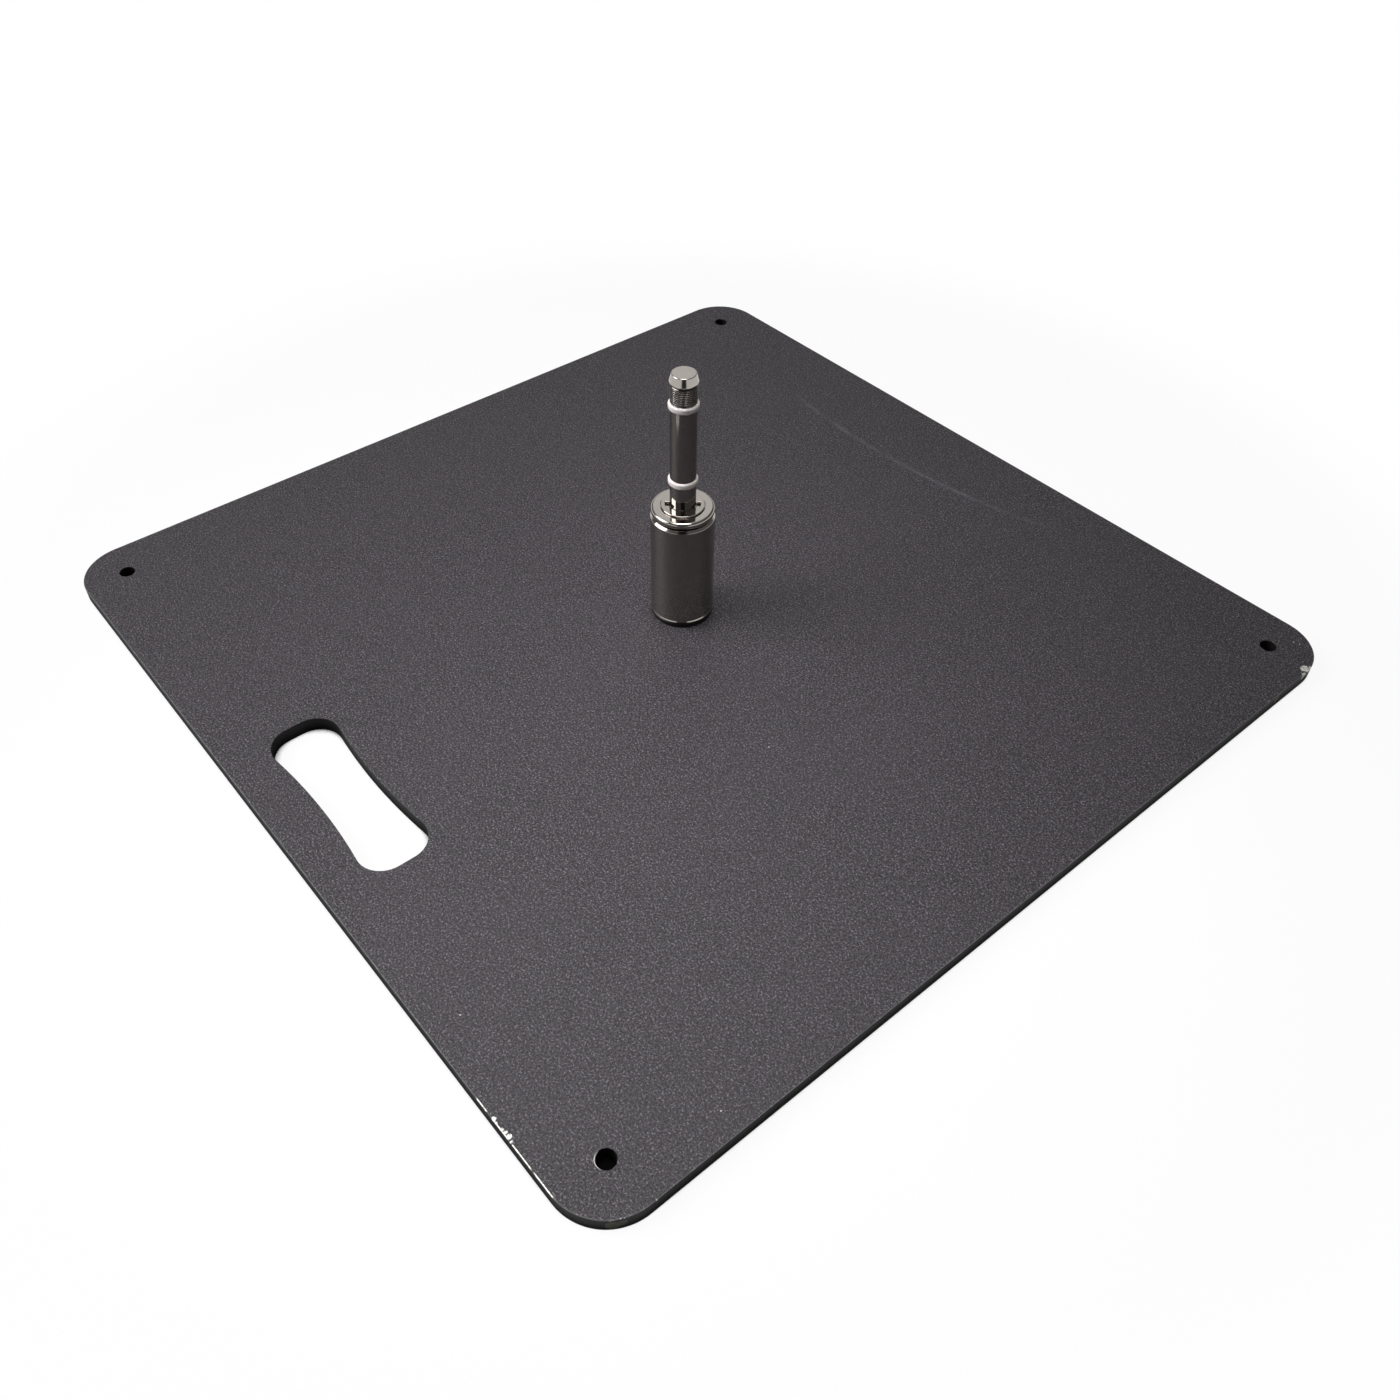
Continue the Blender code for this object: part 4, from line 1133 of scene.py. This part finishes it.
# %% [markdown]
# ## Clip on the disc
#
# A stamped clip snaps into the pin's groove and holds the disc down. It is a flat sheet, so it is made
# like the plate: an outline and small rounded edges. Three prongs reach the groove, and two windows
# show the dark recess between them.

# %% Disc clip
CLIP_OUTER_RADIUS = 0.0115
CLIP_PRONG_RADIUS = 0.0063
CLIP_WINDOW_RADIUS = 0.0092
CLIP_EDGE_ROUND = 0.00035
# Angles in degrees: the mouth is open from -36 to 36 and the whole clip is turned by CLIP_TURN
CLIP_TURN = 139.8
CLIP_MOUTH = 36
# The clip's inner edge, going round from the mouth: the angle where each part ends and its radius
CLIP_ZONES = [
    (80, CLIP_PRONG_RADIUS),
    (130, CLIP_WINDOW_RADIUS),
    (230, CLIP_PRONG_RADIUS),
    (280, CLIP_WINDOW_RADIUS),
    (324, CLIP_PRONG_RADIUS),
]


def clip_outline():
    """The clip's outline, turned so that its mouth is away from the camera."""
    start = CLIP_MOUTH
    end = 360 - CLIP_MOUTH
    outer = arc((0, 0), CLIP_OUTER_RADIUS, start + CLIP_TURN, end + CLIP_TURN, 96)
    inner = []
    for end, radius in CLIP_ZONES:
        inner += arc((0, 0), radius, start + CLIP_TURN, end + CLIP_TURN, 16)
        start = end
    return outer + inner[::-1]


clip_low, clip_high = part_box("disc_clip")
clip_sizes = (clip_low.z, clip_high.z, CLIP_EDGE_ROUND, 4)
clip_mesh = rounded_sheet("retaining_clip", [clip_outline()], *clip_sizes)
keep("retaining_clip", clip_mesh, chrome_material, "spindle", "zinc_steel", "disc_clip")

# %% [markdown]
# ## Pieces that keep their solid
#
# The inner clips, the spacers and the bearings are inside the barrel. Their solids already have the
# right shape, so they only get a finish, in the object's own material slots.

# %% Finishes for the carried-over solids
def nylon():
    """Natural nylon, moulded: off-white, waxy, a little uneven."""
    material, tree, shader, place = new_material("moulded_natural_nylon")
    cloud = add_node(tree, "noise", [place, scale_for(2.0), 3.0])
    colour = add_node(tree, "mix", [cloud, screen_colour("cfc7b0"), screen_colour("e2dcc9")])
    set_input(tree, shader.inputs["Base Color"], colour)
    gloss = add_node(tree, "smooth step", [cloud, 0.3, 0.7, 0.42, 0.55])
    set_input(tree, shader.inputs["Roughness"], gloss)
    return material


nylon_material = nylon()
finish_of_slot = {
    "zinc_steel": zinc_material,
    "bearing_steel": bearing_material,
    "cage_nylon": nylon_material,
}
for subpart in frame["record"]["subparts"]:
    finish = finish_of_slot.get(subpart["material_slot"])
    if finish:
        nodes[subpart["node"]].data.materials.clear()
        nodes[subpart["node"]].data.materials.append(finish)
print("finished solids use", sorted(finish_of_slot))

# %% [markdown]
# ## Floor
#
# The object stands on a plain white floor. To the camera and in reflections the floor is white, and a
# share of its lit surface stays, so that the object's soft shadow does too. Where almost no light
# gets in, as under the four small holes, ambient occlusion lets the floor go dark.

# %% Floor
FLOOR_RADIUS = 6.0
# The floor lies just under the plate, so that the two faces don't share a plane
FLOOR_HEIGHT = -0.0004
SHADOW_SHARE = 0.08
SHADOW_REACH = (0.37, 0.50)
DARK_FLOOR = (0.004, 0.004, 0.004, 1.0)
FLOOR_BOUNCE = (0.1, 0.1, 0.1, 1.0)
OPEN_REACH = 0.02
# The side of the room from which the piece is looked at, as a direction over the floor
DARK_SIDE = (0.77, -0.64, 0.0)


def seen_white(tree):
    """1 for rays from the camera, a mirror or glass, which see the plain white room."""
    rays = add_node(tree, "ShaderNodeLightPath").outputs
    seen = add_node(tree, "maximum", [rays["Is Camera Ray"], rays["Is Glossy Ray"]])
    return add_node(tree, "maximum", [seen, rays["Is Transmission Ray"]])


def dark_side(tree, direction):
    """1 in the narrow dark part of the room, 0 elsewhere, by direction over the floor."""
    flat = add_node(tree, "ShaderNodeVectorMath", [direction, (1, 1, 0)], operation="MULTIPLY")
    unit = add_node(tree, "normalize", [flat])
    along = add_node(tree, "dot product", [unit, DARK_SIDE])
    return add_node(tree, "smooth step", [along, 0.92, 0.985])


def floor_material():
    """White floor that keeps a part of the object's shadow."""
    material = bpy.data.materials.new("white_floor")
    material.use_nodes = True
    tree = material.node_tree
    tree.nodes.clear()
    seen = seen_white(tree)
    glossy = add_node(tree, "ShaderNodeLightPath").outputs["Is Glossy Ray"]
    openness = add_node(tree, "ShaderNodeAmbientOcclusion", {"Distance": OPEN_REACH}, samples=16)
    closed_at = add_node(tree, "multiply add", [glossy, 0.2, 0.4])
    open_at = add_node(tree, "multiply add", [glossy, 0.5, 0.5])
    open_floor = add_node(tree, "smooth step", [openness.outputs["AO"], closed_at, open_at])
    pale = add_node(tree, "mix", [seen, FLOOR_BOUNCE, screen_colour("f2f2f2")])
    pale = add_node(tree, "mix", [open_floor, DARK_FLOOR, pale])
    lit = add_node(tree, "ShaderNodeBsdfDiffuse", [pale])
    place = add_node(tree, "ShaderNodeTexCoord").outputs["Object"]
    away = add_node(tree, "length", [place])
    beyond = add_node(tree, "smooth step", [away, 0.4, 0.55])
    dim = add_node(tree, "multiply", [dark_side(tree, place), beyond])
    dim = add_node(tree, "multiply", [dim, glossy])
    glow = add_node(tree, "mix", [dim, screen_colour("ffffff"), screen_colour("3a3836")])
    white = add_node(tree, "ShaderNodeEmission", [glow])
    kept_white = add_node(tree, "smooth step", [away, *SHADOW_REACH, 1 - SHADOW_SHARE, 1.0])
    share = add_node(tree, "multiply", [seen, kept_white])
    share = add_node(tree, "multiply", [share, open_floor])
    mixed = add_node(tree, "ShaderNodeMixShader", [share, lit, white])
    add_node(tree, "ShaderNodeOutputMaterial", [mixed])
    return material


floor = bpy.data.objects.new("floor", bpy.data.meshes.new("floor"))
bpy.context.scene.collection.objects.link(floor)
rim = circle((0, 0), FLOOR_RADIUS, 64)
floor.data.from_pydata([(x, y, FLOOR_HEIGHT) for x, y in rim], [], [range(len(rim))])
floor.data.materials.append(floor_material())
print("floor reaches", FLOOR_RADIUS, "metres")


# %% [markdown]
# ## Room
#
# The room is what the chrome mirrors. It is white to the camera and at the horizon, and greyer
# overhead, with one bright side and a brighter part that the flat polished tops mirror. A narrow dark
# part behind the camera gives the barrel its dark side. On the coat it gives only a faint even light.

# %% Room
DIFFUSE_STRENGTH = 0.05
BRIGHT_SIDE = (-0.453, 0.211, 0.866)
TOP_GLOW = (-0.634, 0.536, 0.557)


def room_brightness(tree, direction):
    """How bright the room is in a mirror, by direction."""
    height = add_node(tree, "ShaderNodeSeparateXYZ", [direction]).outputs["Z"]
    side = add_node(tree, "dot product", [direction, BRIGHT_SIDE])
    mirrored = add_node(tree, "dot product", [direction, TOP_GLOW])
    horizon = add_node(tree, "smooth step", [height, 0.3, 0.1])
    side_glow = add_node(tree, "smooth step", [side, 0.83, 0.97, 0.15, 0.85])
    top_glow = add_node(tree, "smooth step", [mirrored, 0.955, 0.985, 0.0, 0.95])
    room = add_node(tree, "maximum", [horizon, side_glow])
    room = add_node(tree, "maximum", [room, top_glow])
    lit_side = add_node(tree, "subtract", [1.0, dark_side(tree, direction)])
    dimming = add_node(tree, "smooth step", [lit_side, 0.0, 1.0, 0.05, 1.0])
    return add_node(tree, "multiply", [room, dimming])


def studio_world():
    """A world that is white to the camera, a shaped room in mirrors, and faint on dull surfaces."""
    world = bpy.data.worlds.new("studio")
    world.use_nodes = True
    tree = world.node_tree
    tree.nodes.clear()
    rays = add_node(tree, "ShaderNodeLightPath").outputs
    direction = add_node(tree, "ShaderNodeTexCoord").outputs["Generated"]
    room = room_brightness(tree, direction)
    diffuse = add_node(tree, "multiply", [rays["Is Diffuse Ray"], DIFFUSE_STRENGTH])
    through = add_node(tree, "maximum", [rays["Is Camera Ray"], rays["Is Transmission Ray"]])
    strength = add_node(tree, "multiply add", [rays["Is Glossy Ray"], room, through])
    strength = add_node(tree, "add", [strength, diffuse])
    background = add_node(tree, "ShaderNodeBackground", [screen_colour("ffffff"), strength])
    add_node(tree, "ShaderNodeOutputWorld", [background])
    return world


bpy.context.scene.world = studio_world()
print("room has", len(bpy.context.scene.world.node_tree.nodes), "nodes")


# %% [markdown]
# ## Lamps
#
# Two soft boxes light the piece. The one overhead has a grid, so its light falls off from the middle
# of the plate to the corners. The large one at the left gives the long faint shadow of the spigot.

# %% Lamps
SPIGOT_MIDDLE = (0.0, 0.0, 0.05)
OVERHEAD_PLACE = (0.085, -0.115, 0.95)
OVERHEAD_SIZE = 0.5
OVERHEAD_WATTS = 0.85
OVERHEAD_SPREAD = 50
LEFT_PLACE = (-1.506, -1.928, 1.893)
LEFT_SIZE = 1.9
LEFT_WATTS = 92.0
LEFT_SPREAD = 180


def soft_lamp(name, place, aim, size, power, spread):
    """A square area lamp at a place, facing a point, its light kept to a cone of spread degrees."""
    lamp = bpy.data.lights.new(name, "AREA")
    lamp.shape = "SQUARE"
    lamp.size = size
    lamp.energy = power
    lamp.spread = math.radians(spread)
    item = bpy.data.objects.new(name, lamp)
    item.location = place
    toward = [a - b for a, b in zip(aim, place)]
    item.rotation_euler = Vector(toward).to_track_quat("-Z", "Y").to_euler()
    bpy.context.scene.collection.objects.link(item)


below_overhead = (*OVERHEAD_PLACE[:2], 0.0)
soft_lamp("overhead", OVERHEAD_PLACE, below_overhead, OVERHEAD_SIZE, OVERHEAD_WATTS, OVERHEAD_SPREAD)
soft_lamp("left", LEFT_PLACE, SPIGOT_MIDDLE, LEFT_SIZE, LEFT_WATTS, LEFT_SPREAD)
print("overhead", OVERHEAD_WATTS, "W, left", LEFT_WATTS, "W")


# %% [markdown]
# ## Camera
#
# The camera's place, turn and lens come from fitting the plate's outline, the corner holes and the
# spigot's axis to the photograph. It looks down at about 45 degrees over the near corner.

# %% Camera
CAMERA_PLACE = (0.40456, -0.34185, 0.47205)
CAMERA_TURN = (44.5847, -0.2693, 50.3239)
CAMERA_LENS_MM = 32.41
CAMERA_SENSOR_MM = 36.0
CAMERA_SHIFT_X = 0.0164

camera_data = bpy.data.cameras.new("camera")
camera_data.sensor_width = CAMERA_SENSOR_MM
camera_data.lens = CAMERA_LENS_MM
camera_data.shift_x = CAMERA_SHIFT_X
camera_data.clip_start = 0.01
camera_data.clip_end = 50.0
camera = bpy.data.objects.new("camera", camera_data)
camera.location = CAMERA_PLACE
camera.rotation_euler = [math.radians(angle) for angle in CAMERA_TURN]
bpy.context.scene.collection.objects.link(camera)
bpy.context.scene.camera = camera
bpy.context.scene.view_settings.view_transform = "Standard"
print("camera at", CAMERA_PLACE)
